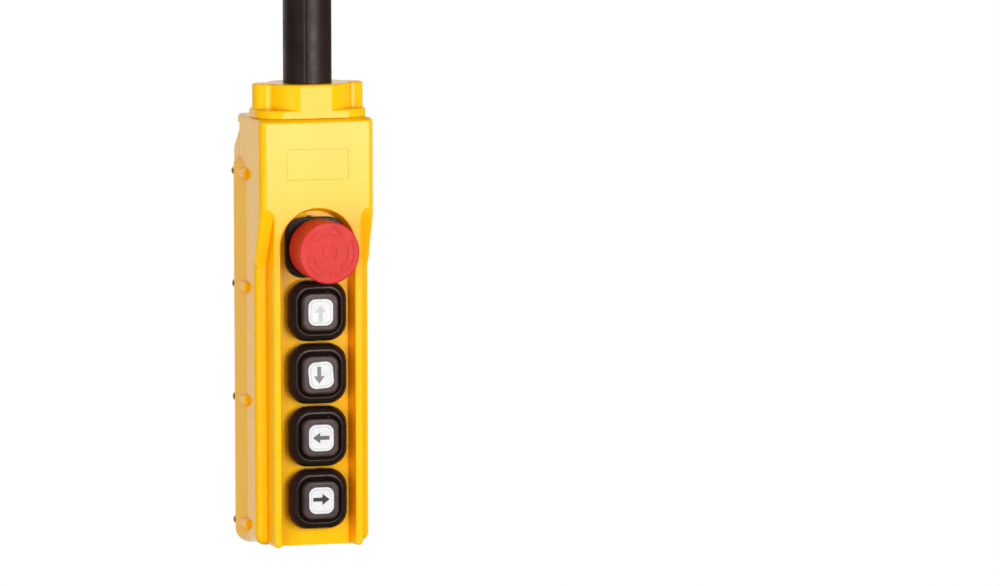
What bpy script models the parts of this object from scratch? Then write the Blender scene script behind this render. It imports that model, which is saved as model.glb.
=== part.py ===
"""Hanging pendant control station with four push buttons and an emergency stop.

Sizes are metres, +Z is up and the front faces -Y. The origin is the centre of the cable
sleeve's mouth, so the station hangs below it. A height counts from the button panel
towards the front, and a drop counts from the housing's top downwards.
"""
import math

import bmesh
import bpy
from mathutils import Matrix

# Fits
CLEARANCE = 0.0003
RUNNING_GAP = 0.0004

# Cable sleeve
SLEEVE_RISE = 0.0993
SLEEVE_RADIUS = 0.0137
SLEEVE_MOUTH_RADIUS = 0.0098
SLEEVE_TAPER = 0.042
SLEEVE_BORE_RADIUS = 0.007
SLEEVE_FOOT_OVERHANG = 0.0035
SLEEVE_FOOT_HEIGHT = 0.0035

# Top cap
CAP_BARREL_WIDTH = 0.0476
CAP_BARREL_DEPTH = 0.0428
CAP_BARREL_HEIGHT = 0.0142
CAP_FLAT_REACH = 0.0193
CAP_FLANGE_INSET = 0.0009
CAP_FLANGE_HEIGHT = 0.0045
CAP_CORNER_RADIUS = 0.0145
CAP_LUG_RADIUS = 0.0071
CAP_LUG_INSET = 0.0014
CAP_LUG_ROOM = 0.0004
CAP_EDGE_RADIUS = 0.0013
CAP_GASKET_THICKNESS = 0.001
CAP_GASKET_INSET = 0.0018

# Housing shell
HOUSING_WIDTH = 0.066
HOUSING_HEIGHT = 0.2418
SIDE_WALL = 0.004
TOP_WALL = 0.0032
FRONT_WALL = 0.003
FRONT_REACH = 0.0225
PARTING_REACH = 0.0262
EDGE_RADIUS = 0.0036
EDGE_DEPTH = 0.0052
TOP_EDGE_RADIUS = 0.0025
BOTTOM_CORNER_RADIUS = 0.0055
TOP_CORNER_RADIUS = 0.0027
TOP_LIP = 0.0118
TOP_LIP_THICKNESS = 0.0045
HOOD_REACH = 0.0037
HOOD_HEIGHT = 0.0056
HOOD_EDGE = 0.0012
CABLE_HOLE_RADIUS = 0.009

# Front face, sloped shoulders and guard walls
FACE_DROP = 0.0523
SLOPE_LENGTH = 0.030
SLOPE_EDGE_RISE = 0.008
SHOULDER_STEP = 0.0125
GUARD_WIDTH = 0.0042
GUARD_FILLET = 0.006
GUARD_EDGE_RADIUS = 0.001
GUARD_END_RADIUS = 0.0018
LABEL_WIDTH = 0.035
LABEL_HEIGHT = 0.017
LABEL_DROP = 0.0170
LABEL_DEPTH = 0.0003

# Button recess
RECESS_WIDTH = 0.0428
RECESS_DEPTH = 0.009
RECESS_LEAN = 0.25
RECESS_RIM_RADIUS = 0.0009
ARCH_RISE = 0.001
ESTOP_DROP = 0.0728
BUTTON_PITCH = 0.0355

# Screw flange and rear cover
FLARE_REACH = 0.0027
FLARE_DEPTH = 0.0155
FLARE_DROP = 0.0238
FLARE_RUN = 0.0052
FLARE_ROUND = 1.65
COVER_DEPTH = 0.0145
COVER_FLANGE = 0.0038
COVER_FLANGE_EDGE = 0.001
COVER_DROP = 0.0072
COVER_SLOPE = 0.013
COVER_SIDE_WALL = 0.006
COVER_BACK_WALL = 0.0025
COVER_EDGE_RADIUS = 0.003
GASKET_INSET = 0.0019
GASKET_WIDTH = 0.001
GASKET_THICKNESS = 0.001
SCREW_OUTSET = 0.0004
UPPER_SCREW_DROPS = (0.0329, 0.0969, 0.1614)
LOWEST_SCREW_RISE = 0.010
BOSS_RADIUS = 0.0035
BOSS_INSET = 0.0010
BOSS_LEAD = 0.0021
HEAD_ROOM = 0.001

# Screws
SCREW_RADIUS = 0.0012
SCREW_HEAD_RADIUS = 0.0029
SCREW_HEAD_HEIGHT = 0.0023
SCREW_HEAD_CHAMFER = 0.0006
SCREW_BITE = 0.008
SCREW_SOCKET_RADIUS = 0.0012
SCREW_SOCKET_DEPTH = 0.001
INNER_HEAD_RADIUS = 0.0024

# Cable clamp
CLAMP_DROP = 0.0318
CLAMP_SPREAD = 0.0125
CLAMP_POST_RADIUS = 0.0032
CLAMP_HEIGHT = 0.009
CLAMP_THICKNESS = 0.004
CLAMP_SADDLE_DEPTH = 0.001

# Push buttons
BUTTON_NAMES = ("up", "down", "left", "right")
BUTTON_TRAVEL = 0.004
BOOT_WIDTH = 0.0337
BOOT_LENGTH = 0.0342
BOOT_HEIGHT = 0.011
BOOT_BELLY_HEIGHT = 0.005
BOOT_RIDGE_WIDTH = 0.0236
BOOT_CORNER_RADIUS = 0.0105
BOOT_LIP_DROP = 0.0012
BOOT_FOOT_INSET = 0.001
BOOT_GAP = 0.0005
BUTTON_WIDTH = 0.0205
BUTTON_LENGTH = 0.0213
BUTTON_HEIGHT = 0.014
BUTTON_THICKNESS = 0.0072
BUTTON_CORNER_RADIUS = 0.005
BUTTON_EDGE_RADIUS = 0.001
LEGEND_WIDTH = 0.0143
LEGEND_LENGTH = 0.015
LEGEND_CORNER_RADIUS = 0.0042
LEGEND_PROUD = 0.0006
LEGEND_POCKET = 0.001
LEGEND_RIM = 0.0011
LEGEND_DISH = 0.0005
STEM_RADIUS = 0.005
STEM_FOOT_RADIUS = 0.0063
STEM_FOOT_HEIGHT = 0.0015
BUSH_RADIUS = 0.010
BUSH_FLANGE_RADIUS = 0.0123
BUSH_FLANGE_HEIGHT = 0.0015
BUSH_LENGTH = 0.010
BUSH_WALL = 0.0024
BUSH_LIP = 0.002
NUT_RIM = 0.0035
NUT_THICKNESS = 0.003

# Emergency stop
ESTOP_TRAVEL = 0.005
COLLAR_WIDTH = 0.0342
COLLAR_HEIGHT = 0.003
COLLAR_CORNER_RADIUS = 0.0108
COLLAR_EDGE_RADIUS = 0.0008
COLLAR_NECK_RADIUS = 0.0128
COLLAR_NECK_HEIGHT = 0.009
COLLAR_BARREL_RADIUS = 0.011
COLLAR_BORE_RADIUS = 0.0082
COLLAR_BARREL_LENGTH = 0.009
COLLAR_LIP = 0.0015
HEAD_RADIUS = 0.0174
HEAD_HEIGHT = 0.0347
HEAD_REAR_HEIGHT = 0.009
HEAD_TAPER = 0.0006
HEAD_EDGE_RADIUS = 0.001
HEAD_HOLLOW_DEPTH = 0.009
HEAD_SKIRT = 0.003
HEAD_FRONT_WALL = 0.007
ESTOP_STEM_RADIUS = 0.006
ESTOP_FOOT_RADIUS = 0.0072

# Return springs and contact blocks
SPRING_WIRE_RADIUS = 0.0006
SPRING_SIDE_GAP = 0.0007
SPRING_TURNS = 4
CONTACT_GAP = 0.001
CONTACT_HEIGHT = 0.020
CONTACT_DEPTH = 0.013
CONTACT_LEG = 0.0022

# Facets round each kind of curve
CORNER_STEPS = 4
FILLET_STEPS = 3
ARCH_STEPS = 16
ROUND_SIDES = 20
HOLE_SIDES = 14
SCREW_SIDES = 10
SPRING_POINTS = 8
GUARD_EDGE_STEPS = 2
FLARE_STEPS = 4
NUT_SIDES = 6

# How far a cutter runs past the face that it opens, and how far a joined form stays behind a flush face
OVERCUT = 0.002
FLUSH_STEP = 0.0001

# Welding of doubled points, and the angles past which an edge stays sharp or is rounded
WELD_DISTANCE = 1e-6
SHARP_ANGLE = math.radians(35)
ROUNDED_ANGLE = math.radians(40)

# Places worked out from the sizes above
CAP_TOP = -SLEEVE_RISE
FLANGE_TOP = CAP_TOP - CAP_BARREL_HEIGHT
CAP_BOTTOM = FLANGE_TOP - CAP_FLANGE_HEIGHT
CAP_POCKET_TOP = CAP_BOTTOM + CAP_GASKET_THICKNESS + CLEARANCE
HOUSING_TOP = CAP_BOTTOM - CLEARANCE
HOUSING_BOTTOM = HOUSING_TOP - HOUSING_HEIGHT
HALF_WIDTH = HOUSING_WIDTH / 2
FRONT_Y = -FRONT_REACH
SHOULDER_Y = FRONT_Y + SHOULDER_STEP
PANEL_Y = FRONT_Y + RECESS_DEPTH
PARTING_Y = PARTING_REACH
COVER_FRONT_Y = PARTING_Y + CLEARANCE
COVER_BACK_Y = COVER_FRONT_Y + COVER_DEPTH
SEAL_FRONT_Y = PARTING_Y + CLEARANCE / 2
FLANGE_BACK_Y = COVER_FRONT_Y + COVER_FLANGE
CREASE_Y = PARTING_Y - FLARE_DEPTH
RECESS_RADIUS = RECESS_WIDTH / 2
ESTOP_Z = HOUSING_TOP - ESTOP_DROP
ARCH_Z = ESTOP_Z + ARCH_RISE
ARCH_TOP = ARCH_Z + RECESS_RADIUS
INNER_HALF = HALF_WIDTH - SIDE_WALL
SCREW_SPREAD = HALF_WIDTH + SCREW_OUTSET
SCREW_DROPS = UPPER_SCREW_DROPS + (HOUSING_HEIGHT - LOWEST_SCREW_RISE,)
PILOT_RADIUS = SCREW_RADIUS + CLEARANCE
SLEEVE_FOOT_RADIUS = SLEEVE_RADIUS + SLEEVE_FOOT_OVERHANG
CAP_LUG_SPREAD = INNER_HALF - INNER_HEAD_RADIUS - CAP_LUG_ROOM
POST_END_Y = SLEEVE_BORE_RADIUS + CLEARANCE


# Collections and materials

def new_collection(name):
    collection = bpy.data.collections.new(name)
    bpy.context.scene.collection.children.link(collection)
    return collection


for existing in list(bpy.data.objects):
    bpy.data.objects.remove(existing, do_unlink=True)

PARTS = new_collection("pendant_control_station")
CUTTERS = new_collection("cutters")


def principled(name, colour, roughness, metallic=0.0):
    material = bpy.data.materials.new(name)
    material.use_nodes = True
    shader = material.node_tree.nodes["Principled BSDF"]
    shader.inputs["Base Color"].default_value = (*colour, 1.0)
    shader.inputs["Roughness"].default_value = roughness
    shader.inputs["Metallic"].default_value = metallic
    return material


FINISHES = {
    "yellow_plastic": ((0.95, 0.53, 0.005), 0.28, 0.0),
    "black_rubber": ((0.022, 0.016, 0.014), 0.45, 0.0),
    "white_plastic": ((0.82, 0.82, 0.82), 0.35, 0.0),
    "red_plastic": ((0.68, 0.05, 0.03), 0.3, 0.0),
    "black_plastic": ((0.02, 0.018, 0.017), 0.35, 0.0),
    "grey_plastic": ((0.30, 0.30, 0.31), 0.45, 0.0),
    "steel": ((0.55, 0.53, 0.50), 0.3, 1.0),
    "seal_rubber": ((0.03, 0.03, 0.03), 0.6, 0.0),
}


# Building blocks

def finish_object(thing, finish):
    """Give a sub-part its own material and place it among the parts, or among the cutters."""
    if finish is None:
        CUTTERS.objects.link(thing)
        thing.hide_render = True
        thing.display_type = "WIRE"
        return thing
    PARTS.objects.link(thing)
    thing.data.materials.append(principled(thing.name, *FINISHES[finish]))
    return thing


def mesh_object(name, shape, finish):
    mesh = bpy.data.meshes.new(name)
    bmesh.ops.recalc_face_normals(shape, faces=shape.faces)
    shape.to_mesh(mesh)
    shape.free()
    mesh.shade_smooth()
    mesh.set_sharp_from_angle(angle=SHARP_ANGLE)
    return finish_object(bpy.data.objects.new(name, mesh), finish)


def loft(name, sections, finish=None, ring=False):
    """Skin a run of closed outlines with equal point counts, capped unless it closes on itself."""
    shape = bmesh.new()
    rows = [[shape.verts.new(point) for point in section] for section in sections]
    count = len(rows[0])
    pairs = list(zip(rows, rows[1:]))
    if ring:
        pairs.append((rows[-1], rows[0]))
    for lower, upper in pairs:
        for index in range(count):
            following = (index + 1) % count
            shape.faces.new((lower[index], lower[following], upper[following], upper[index]))
    if not ring:
        shape.faces.new(rows[0])
        shape.faces.new(rows[-1])
    bmesh.ops.remove_doubles(shape, verts=shape.verts, dist=WELD_DISTANCE)
    return mesh_object(name, shape, finish)


def box(name, low, high, finish=None):
    shape = bmesh.new()
    bmesh.ops.create_cube(shape, size=1.0)
    for vertex in shape.verts:
        for axis in range(3):
            middle = (low[axis] + high[axis]) / 2
            vertex.co[axis] = middle + vertex.co[axis] * (high[axis] - low[axis])
    return mesh_object(name, shape, finish)


def add_rod(shape, axis, start, length, radius, sides):
    """Add one solid rod to a mesh, from start along +Y or +Z."""
    middle = list(start)
    turn = Matrix.Identity(4)
    if axis == "Y":
        middle[1] += length / 2
        turn = Matrix.Rotation(math.radians(90), 4, "X")
    else:
        middle[2] += length / 2
    bmesh.ops.create_cone(
        shape, cap_ends=True, segments=sides, radius1=radius, radius2=radius,
        depth=length, matrix=Matrix.Translation(middle) @ turn,
    )


def rods(name, axis, places, finish=None):
    """One mesh of separate rods; each place is a start point, a length, a radius and its sides."""
    shape = bmesh.new()
    for start, length, radius, sides in places:
        add_rod(shape, axis, start, length, radius, sides)
    return mesh_object(name, shape, finish)


def turned(name, profile, sides, finish, closed=False):
    """Turn a profile of (radius, height) points about +Z, listed down its outer side."""
    mesh = bpy.data.meshes.new(name)
    edges = [(index, index + 1) for index in range(len(profile) - 1)]
    if closed:
        edges.append((len(profile) - 1, 0))
    mesh.from_pydata([(radius, 0.0, height) for radius, height in profile], edges, [])
    thing = finish_object(bpy.data.objects.new(name, mesh), finish)
    screw = thing.modifiers.new("turn", "SCREW")
    screw.steps = sides
    screw.render_steps = sides
    screw.use_merge_vertices = True
    screw.merge_threshold = WELD_DISTANCE
    screw.use_smooth_shade = True
    return thing


def as_mesh(curve_object, finish):
    """Swap a curve object for a welded mesh of the same name and place."""
    bpy.context.view_layer.update()
    evaluated = curve_object.evaluated_get(bpy.context.evaluated_depsgraph_get())
    mesh = bpy.data.meshes.new_from_object(evaluated)
    name = curve_object.name
    placed = curve_object.matrix_world.copy()
    bpy.data.objects.remove(curve_object, do_unlink=True)
    shape = bmesh.new()
    shape.from_mesh(mesh)
    bpy.data.meshes.remove(mesh)
    bmesh.ops.remove_doubles(shape, verts=shape.verts, dist=WELD_DISTANCE)
    thing = mesh_object(name, shape, finish)
    thing.matrix_world = placed
    return thing


def plate(name, outlines, thickness, finish=None, upright=False):
    """A flat outline, with any holes, extruded evenly about its own plane."""
    curve = bpy.data.curves.new(name, "CURVE")
    curve.dimensions = "2D"
    curve.fill_mode = "BOTH"
    curve.extrude = thickness / 2
    for outline in outlines:
        spline = curve.splines.new("POLY")
        spline.points.add(len(outline) - 1)
        for point, (across, along) in zip(spline.points, outline):
            point.co = (across, along, 0.0, 1.0)
        spline.use_cyclic_u = True
    thing = bpy.data.objects.new(name, curve)
    CUTTERS.objects.link(thing)
    if upright:
        thing.rotation_euler.x = math.radians(90)
    return as_mesh(thing, finish)


def combine(target, other, operation, solver):
    modifier = target.modifiers.new(other.name, "BOOLEAN")
    modifier.operation = operation
    modifier.object = other
    modifier.solver = solver


def cut(target, *others, solver="EXACT"):
    for other in others:
        combine(target, other, "DIFFERENCE", solver)


def add(target, *others, solver="EXACT"):
    for other in others:
        combine(target, other, "UNION", solver)


def round_edges(thing, width, segments):
    bevel = thing.modifiers.new("round", "BEVEL")
    bevel.width = width
    bevel.segments = segments
    bevel.limit_method = "ANGLE"
    bevel.angle_limit = ROUNDED_ANGLE


def circle(radius, sides):
    return [
        (radius * math.cos(math.tau * step / sides), radius * math.sin(math.tau * step / sides))
        for step in range(sides)
    ]


def rounded_outline(half_width, low, high, low_radius, high_radius):
    """Points of a rectangle with round corners, from its lower right corner round to its left."""
    corners = (
        (1, low + low_radius, low_radius, -90),
        (1, high - high_radius, high_radius, 0),
        (-1, high - high_radius, high_radius, 90),
        (-1, low + low_radius, low_radius, 180),
    )
    points = []
    for side, level, radius, start in corners:
        for step in range(CORNER_STEPS + 1):
            angle = math.radians(start + 90 * step / CORNER_STEPS)
            across = side * (half_width - radius) + radius * math.cos(angle)
            points.append((across, level + radius * math.sin(angle)))
    return points


def rounded_square(half_width, half_length, radius):
    return rounded_outline(half_width, -half_length, half_length, radius, radius)


def disc(radius):
    return rounded_square(radius, radius, radius)


def facing_front(outline, y):
    return [(across, y, along) for across, along in outline]


def facing_up(outline, z):
    return [(across, along, z) for across, along in outline]


def quarter_round(radius):
    """Depth and inset along a rounded edge, from the face to the full outline."""
    for step in range(FILLET_STEPS + 1):
        angle = math.radians(90 * step / FILLET_STEPS)
        yield radius * (1 - math.cos(angle)), radius * (1 - math.sin(angle))


# Housing shell

def left_radius(radius, inset):
    """What is left of a corner's radius on an outline that is drawn in by inset."""
    return max(radius - inset, CLEARANCE)


def slope_side(low_half, high_half, split):
    """Points up a side that leaves its lower half width at split and eases out to the upper one."""
    points = []
    for step in range(CORNER_STEPS + 1):
        angle = math.radians(90 * step / CORNER_STEPS)
        across = low_half + (high_half - low_half) * math.sin(angle)
        points.append((across, split + SLOPE_EDGE_RISE * (1 - math.cos(angle))))
    return points


def flare_side(half, reach, share):
    """Points up a side whose flare runs out to a point; share is 1 at the parting plane, 0 at the crease."""
    high = HOUSING_TOP - FLARE_DROP
    points = []
    for step in range(CORNER_STEPS + 1):
        left = share ** (1 / FLARE_ROUND) * step / CORNER_STEPS
        points.append((half + reach * (share - left ** FLARE_ROUND), high - FLARE_RUN * (1 - left)))
    return points


def shell_outline(low_half, low, low_radius, side, high_half, high, high_radius, folded=False):
    """Outline of the shell across its depth: a lower part and an upper part joined by a run of points.

    Folded, the lower part is drawn up flat to the foot of that run, where the shell has only its
    upper block.
    """
    right = []
    for step in range(CORNER_STEPS + 1):
        angle = math.radians(-90 + 90 * step / CORNER_STEPS)
        across = low_half - low_radius + low_radius * math.cos(angle)
        along = low + low_radius + low_radius * math.sin(angle)
        right.append((across, side[0][1] if folded else along))
    right += side
    for step in range(CORNER_STEPS + 1):
        angle = math.radians(90 * step / CORNER_STEPS)
        across = high_half - high_radius + high_radius * math.cos(angle)
        right.append((across, high - high_radius + high_radius * math.sin(angle)))
    return right + [(-across, along) for across, along in reversed(right)]


def edge_levels():
    """Depth and inset along the rounded front edges, which reach further back than in."""
    return [(depth * EDGE_DEPTH / EDGE_RADIUS, inset) for depth, inset in quarter_round(EDGE_RADIUS)]


def block_section(depth, inset, folded=True):
    """The upper block at a depth behind the front plane; its foot slopes down with depth."""
    split = HOUSING_TOP - FACE_DROP - SLOPE_LENGTH * depth / SHOULDER_STEP
    low_half = HALF_WIDTH - EDGE_RADIUS
    high_half = HALF_WIDTH - inset
    top_inset = inset * TOP_EDGE_RADIUS / EDGE_RADIUS
    outline = shell_outline(
        low_half, HOUSING_BOTTOM + EDGE_RADIUS, BOTTOM_CORNER_RADIUS - EDGE_RADIUS,
        slope_side(low_half, high_half, split), high_half, HOUSING_TOP - top_inset,
        left_radius(TOP_CORNER_RADIUS, top_inset), folded,
    )
    return facing_front(outline, FRONT_Y + depth)


def shoulder_section(depth, inset):
    low_half = HALF_WIDTH - inset
    outline = shell_outline(
        low_half, HOUSING_BOTTOM + inset, BOTTOM_CORNER_RADIUS - inset,
        slope_side(low_half, HALF_WIDTH, HOUSING_TOP - FACE_DROP - SLOPE_LENGTH),
        HALF_WIDTH, HOUSING_TOP, TOP_CORNER_RADIUS,
    )
    return facing_front(outline, SHOULDER_Y + depth)


def flare_section(share):
    """The shell between the crease and the parting plane, where its screw flange stands out."""
    reach = FLARE_REACH * share
    outline = shell_outline(
        HALF_WIDTH + reach, HOUSING_BOTTOM - reach, BOTTOM_CORNER_RADIUS + reach,
        flare_side(HALF_WIDTH, FLARE_REACH, share), HALF_WIDTH, HOUSING_TOP, TOP_CORNER_RADIUS,
    )
    return facing_front(outline, CREASE_Y + FLARE_DEPTH * share)


def shell_body():
    """The solid outer form, from the front face back to the parting plane."""
    sections = [block_section(depth, inset) for depth, inset in edge_levels()]
    sections.append(block_section(SHOULDER_STEP, 0.0))
    sections.append(block_section(SHOULDER_STEP, 0.0, folded=False))
    sections += [shoulder_section(depth, inset) for depth, inset in edge_levels()[1:]]
    sections += [flare_section(step / FLARE_STEPS) for step in range(FLARE_STEPS + 1)]
    return loft("front_housing", sections, "yellow_plastic")


def rear_hood():
    """The ledge that the shell's top reaches back with, over the cover."""
    def section(inset, y):
        low = HOUSING_TOP - HOOD_HEIGHT + inset
        high = HOUSING_TOP - FLUSH_STEP - inset
        half = HALF_WIDTH - FLUSH_STEP - inset
        return facing_front(rounded_outline(half, low, high, HOOD_EDGE, TOP_CORNER_RADIUS), y)
    back = PARTING_Y + HOOD_REACH
    return loft("rear_hood", [
        section(0.0, PARTING_Y - HOOD_REACH),
        section(0.0, back - HOOD_EDGE),
        section(HOOD_EDGE, back),
    ])


def guard_walls():
    """The slab whose two edges stand as guard walls once the recess is cut."""
    half = RECESS_RADIUS + GUARD_WIDTH
    face_half = HALF_WIDTH - EDGE_RADIUS
    face_low = HOUSING_TOP - FACE_DROP
    end = GUARD_END_RADIUS
    right = []
    for step in range(CORNER_STEPS + 1):
        angle = math.radians(90 * step / CORNER_STEPS)
        low = HOUSING_BOTTOM + FLUSH_STEP + end * (1 - math.cos(angle))
        right.append((half - end * (1 - math.sin(angle)), low))
    for step in range(CORNER_STEPS + 1):
        angle = math.radians(90 * step / CORNER_STEPS)
        across = face_half + (half - face_half) * math.cos(angle)
        right.append((across, face_low - GUARD_FILLET * (1 - math.sin(angle))))
    right.append((face_half, face_low + GUARD_FILLET))
    left = [(-across, along) for across, along in reversed(right)]
    depth = SHOULDER_STEP + FRONT_WALL / 2
    slab = plate("guard_walls", [right + left], depth, upright=True)
    slab.location.y = FRONT_Y + FLUSH_STEP + depth / 2
    round_edges(slab, GUARD_EDGE_RADIUS, GUARD_EDGE_STEPS)
    return slab


def recess_outline(offset):
    radius = RECESS_RADIUS + offset
    low = HOUSING_BOTTOM - OVERCUT
    points = [(-radius, low), (radius, low)]
    for step in range(ARCH_STEPS + 1):
        angle = math.pi * step / ARCH_STEPS
        points.append((radius * math.cos(angle), ARCH_Z + radius * math.sin(angle)))
    return points


def recess_cutter():
    """The arched button recess, with a rounded rim and walls that lean in."""
    sections = [facing_front(recess_outline(RECESS_RIM_RADIUS), FRONT_Y - CLEARANCE)]
    for depth, inset in list(quarter_round(RECESS_RIM_RADIUS))[1:]:
        sections.append(facing_front(recess_outline(inset), FRONT_Y + depth))
    floor_offset = -RECESS_LEAN * (RECESS_DEPTH - RECESS_RIM_RADIUS)
    sections.append(facing_front(recess_outline(floor_offset), PANEL_Y))
    return loft("recess", sections)


def screw_places():
    return [
        (side, SCREW_SPREAD * sign, HOUSING_TOP - drop, number + 1)
        for side, sign in (("left", -1), ("right", 1))
        for number, drop in enumerate(SCREW_DROPS)
    ]


def screw_bosses():
    start = CREASE_Y - BOSS_LEAD
    length = PARTING_Y - FLUSH_STEP - start
    return rods("screw_bosses", "Y", [
        ((math.copysign(HALF_WIDTH - BOSS_INSET, x), start, z), length, BOSS_RADIUS, HOLE_SIDES)
        for side, x, z, number in screw_places()
    ])


def clamp_posts():
    start = FRONT_Y + FRONT_WALL - CLEARANCE
    return rods("clamp_posts", "Y", [
        ((CLAMP_SPREAD * sign, start, HOUSING_TOP - CLAMP_DROP), POST_END_Y - start,
         CLAMP_POST_RADIUS, HOLE_SIDES)
        for sign in (-1, 1)
    ])


def housing_cavities():
    low = HOUSING_BOTTOM + SIDE_WALL
    lip_y = PARTING_Y - TOP_LIP_THICKNESS
    floor_half = RECESS_RADIUS - RECESS_LEAN * RECESS_DEPTH
    main = box(
        "main_cavity", (-INNER_HALF, SHOULDER_Y + FRONT_WALL, low),
        (INNER_HALF, lip_y, HOUSING_TOP - TOP_WALL),
    )
    mouth = box(
        "mouth_cavity", (-INNER_HALF, lip_y - OVERCUT, low),
        (INNER_HALF, PARTING_Y + OVERCUT, HOUSING_TOP - TOP_LIP),
    )
    panel = box(
        "panel_cavity", (-floor_half, PANEL_Y + FRONT_WALL, low),
        (floor_half, SHOULDER_Y + FRONT_WALL + OVERCUT, ARCH_TOP - FRONT_WALL),
    )
    block = box(
        "block_cavity", (-INNER_HALF, FRONT_Y + FRONT_WALL, ARCH_TOP + FRONT_WALL),
        (INNER_HALF, SHOULDER_Y + FRONT_WALL + OVERCUT, HOUSING_TOP - TOP_WALL),
    )
    return main, mouth, panel, block


def element_stations():
    """Heights of the emergency stop and of the four push buttons."""
    return [ESTOP_Z - BUTTON_PITCH * number for number in range(len(BUTTON_NAMES) + 1)]


def panel_holes():
    radii = [COLLAR_BARREL_RADIUS] + [BUSH_RADIUS] * len(BUTTON_NAMES)
    start = PANEL_Y - OVERCUT
    length = FRONT_WALL + OVERCUT * 2
    return rods("panel_holes", "Y", [
        ((0.0, start, z), length, radius + CLEARANCE, ROUND_SIDES)
        for radius, z in zip(radii, element_stations())
    ])


def pilot_holes():
    depth = SCREW_BITE + OVERCUT
    cover = [
        ((x, PARTING_Y - depth, z), depth + OVERCUT, PILOT_RADIUS, SCREW_SIDES)
        for side, x, z, number in screw_places()
    ]
    clamp = [
        ((CLAMP_SPREAD * sign, POST_END_Y - depth, HOUSING_TOP - CLAMP_DROP), depth + OVERCUT,
         PILOT_RADIUS, SCREW_SIDES)
        for sign in (-1, 1)
    ]
    return rods("pilot_holes", "Y", cover + clamp)


def top_holes():
    start = HOUSING_TOP - TOP_WALL - OVERCUT
    length = TOP_WALL + OVERCUT * 2
    holes = [((0.0, 0.0, start), length, CABLE_HOLE_RADIUS, ROUND_SIDES)]
    for sign in (-1, 1):
        holes.append(((CAP_LUG_SPREAD * sign, 0.0, start), length, PILOT_RADIUS, SCREW_SIDES))
    return rods("top_holes", "Z", holes)


def front_housing():
    shell = shell_body()
    add(shell, guard_walls(), solver="MANIFOLD")
    add(shell, screw_bosses(), rear_hood())
    cut(shell, recess_cutter(), solver="MANIFOLD")
    cut(shell, *housing_cavities())
    add(shell, clamp_posts())
    label_top = HOUSING_TOP - LABEL_DROP
    label = box(
        "label_recess", (-LABEL_WIDTH / 2, FRONT_Y - OVERCUT, label_top - LABEL_HEIGHT),
        (LABEL_WIDTH / 2, FRONT_Y + LABEL_DEPTH, label_top),
    )
    cut(shell, label, panel_holes(), pilot_holes(), top_holes())


# Rear cover and its seal

def gasket_outline(inset):
    """Outline that runs inside the parting rim, inset from the housing's sides and foot."""
    low = HOUSING_BOTTOM + inset
    high = HOUSING_TOP - COVER_DROP - inset
    radius = BOTTOM_CORNER_RADIUS - inset
    return rounded_outline(HALF_WIDTH - inset, low, high, radius, radius)


def gasket_frame(name, margin, start_y, end_y, finish=None):
    outer = gasket_outline(GASKET_INSET - margin)
    inner = gasket_outline(GASKET_INSET + GASKET_WIDTH + margin)
    return loft(name, [
        facing_front(outer, start_y), facing_front(outer, end_y),
        facing_front(inner, end_y), facing_front(inner, start_y),
    ], finish, ring=True)


def flange_section(reach, y):
    """The cover's screw flange, which runs out inside the cover's sides at its top."""
    high = HOUSING_TOP - FLARE_DROP + TOP_CORNER_RADIUS
    high_half = HALF_WIDTH - FLUSH_STEP
    outline = shell_outline(
        HALF_WIDTH + reach, HOUSING_BOTTOM - reach, BOTTOM_CORNER_RADIUS + reach,
        flare_side(high_half, reach + FLUSH_STEP, 1.0), high_half, high, TOP_CORNER_RADIUS,
    )
    return facing_front(outline, y)


def rear_cover():
    high = HOUSING_TOP - COVER_DROP
    levels = [(0.0, 0.0)]
    for depth, inset in reversed(list(quarter_round(COVER_EDGE_RADIUS))):
        levels.append((COVER_DEPTH - depth, inset))
    sections = []
    for depth, inset in levels:
        top = high - COVER_SLOPE * depth / COVER_DEPTH - inset
        outline = rounded_outline(
            HALF_WIDTH - inset, HOUSING_BOTTOM + inset, top, BOTTOM_CORNER_RADIUS - inset,
            left_radius(TOP_CORNER_RADIUS, inset),
        )
        sections.append(facing_front(outline, COVER_FRONT_Y + depth))
    tray = loft("rear_cover", sections, "yellow_plastic")
    flange = loft("cover_flange", [
        flange_section(FLARE_REACH, COVER_FRONT_Y + FLUSH_STEP),
        flange_section(FLARE_REACH, FLANGE_BACK_Y - COVER_FLANGE_EDGE),
        flange_section(FLARE_REACH - COVER_FLANGE_EDGE, FLANGE_BACK_Y),
    ])
    half = HALF_WIDTH - COVER_SIDE_WALL
    cavity = box(
        "cover_cavity", (-half, COVER_FRONT_Y - OVERCUT, HOUSING_BOTTOM + COVER_SIDE_WALL),
        (half, COVER_BACK_Y - COVER_BACK_WALL, high - COVER_SLOPE - COVER_BACK_WALL),
    )
    groove_end = SEAL_FRONT_Y + GASKET_THICKNESS + CLEARANCE
    groove = gasket_frame("gasket_groove", CLEARANCE, COVER_FRONT_Y - OVERCUT, groove_end)
    notch_radius = SCREW_HEAD_RADIUS + HEAD_ROOM
    notches = rods("head_notches", "Y", [
        ((x, FLANGE_BACK_Y - FLUSH_STEP, z), COVER_DEPTH, notch_radius, HOLE_SIDES)
        for side, x, z, number in screw_places()
    ])
    holes = rods("cover_holes", "Y", [
        ((x, COVER_FRONT_Y - OVERCUT, z), COVER_FLANGE + OVERCUT * 2, PILOT_RADIUS, SCREW_SIDES)
        for side, x, z, number in screw_places()
    ])
    add(tray, flange)
    cut(tray, cavity, groove, notches, holes)
    gasket_frame("cover_gasket", 0.0, SEAL_FRONT_Y, SEAL_FRONT_Y + GASKET_THICKNESS, "seal_rubber")


# Screws

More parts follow.
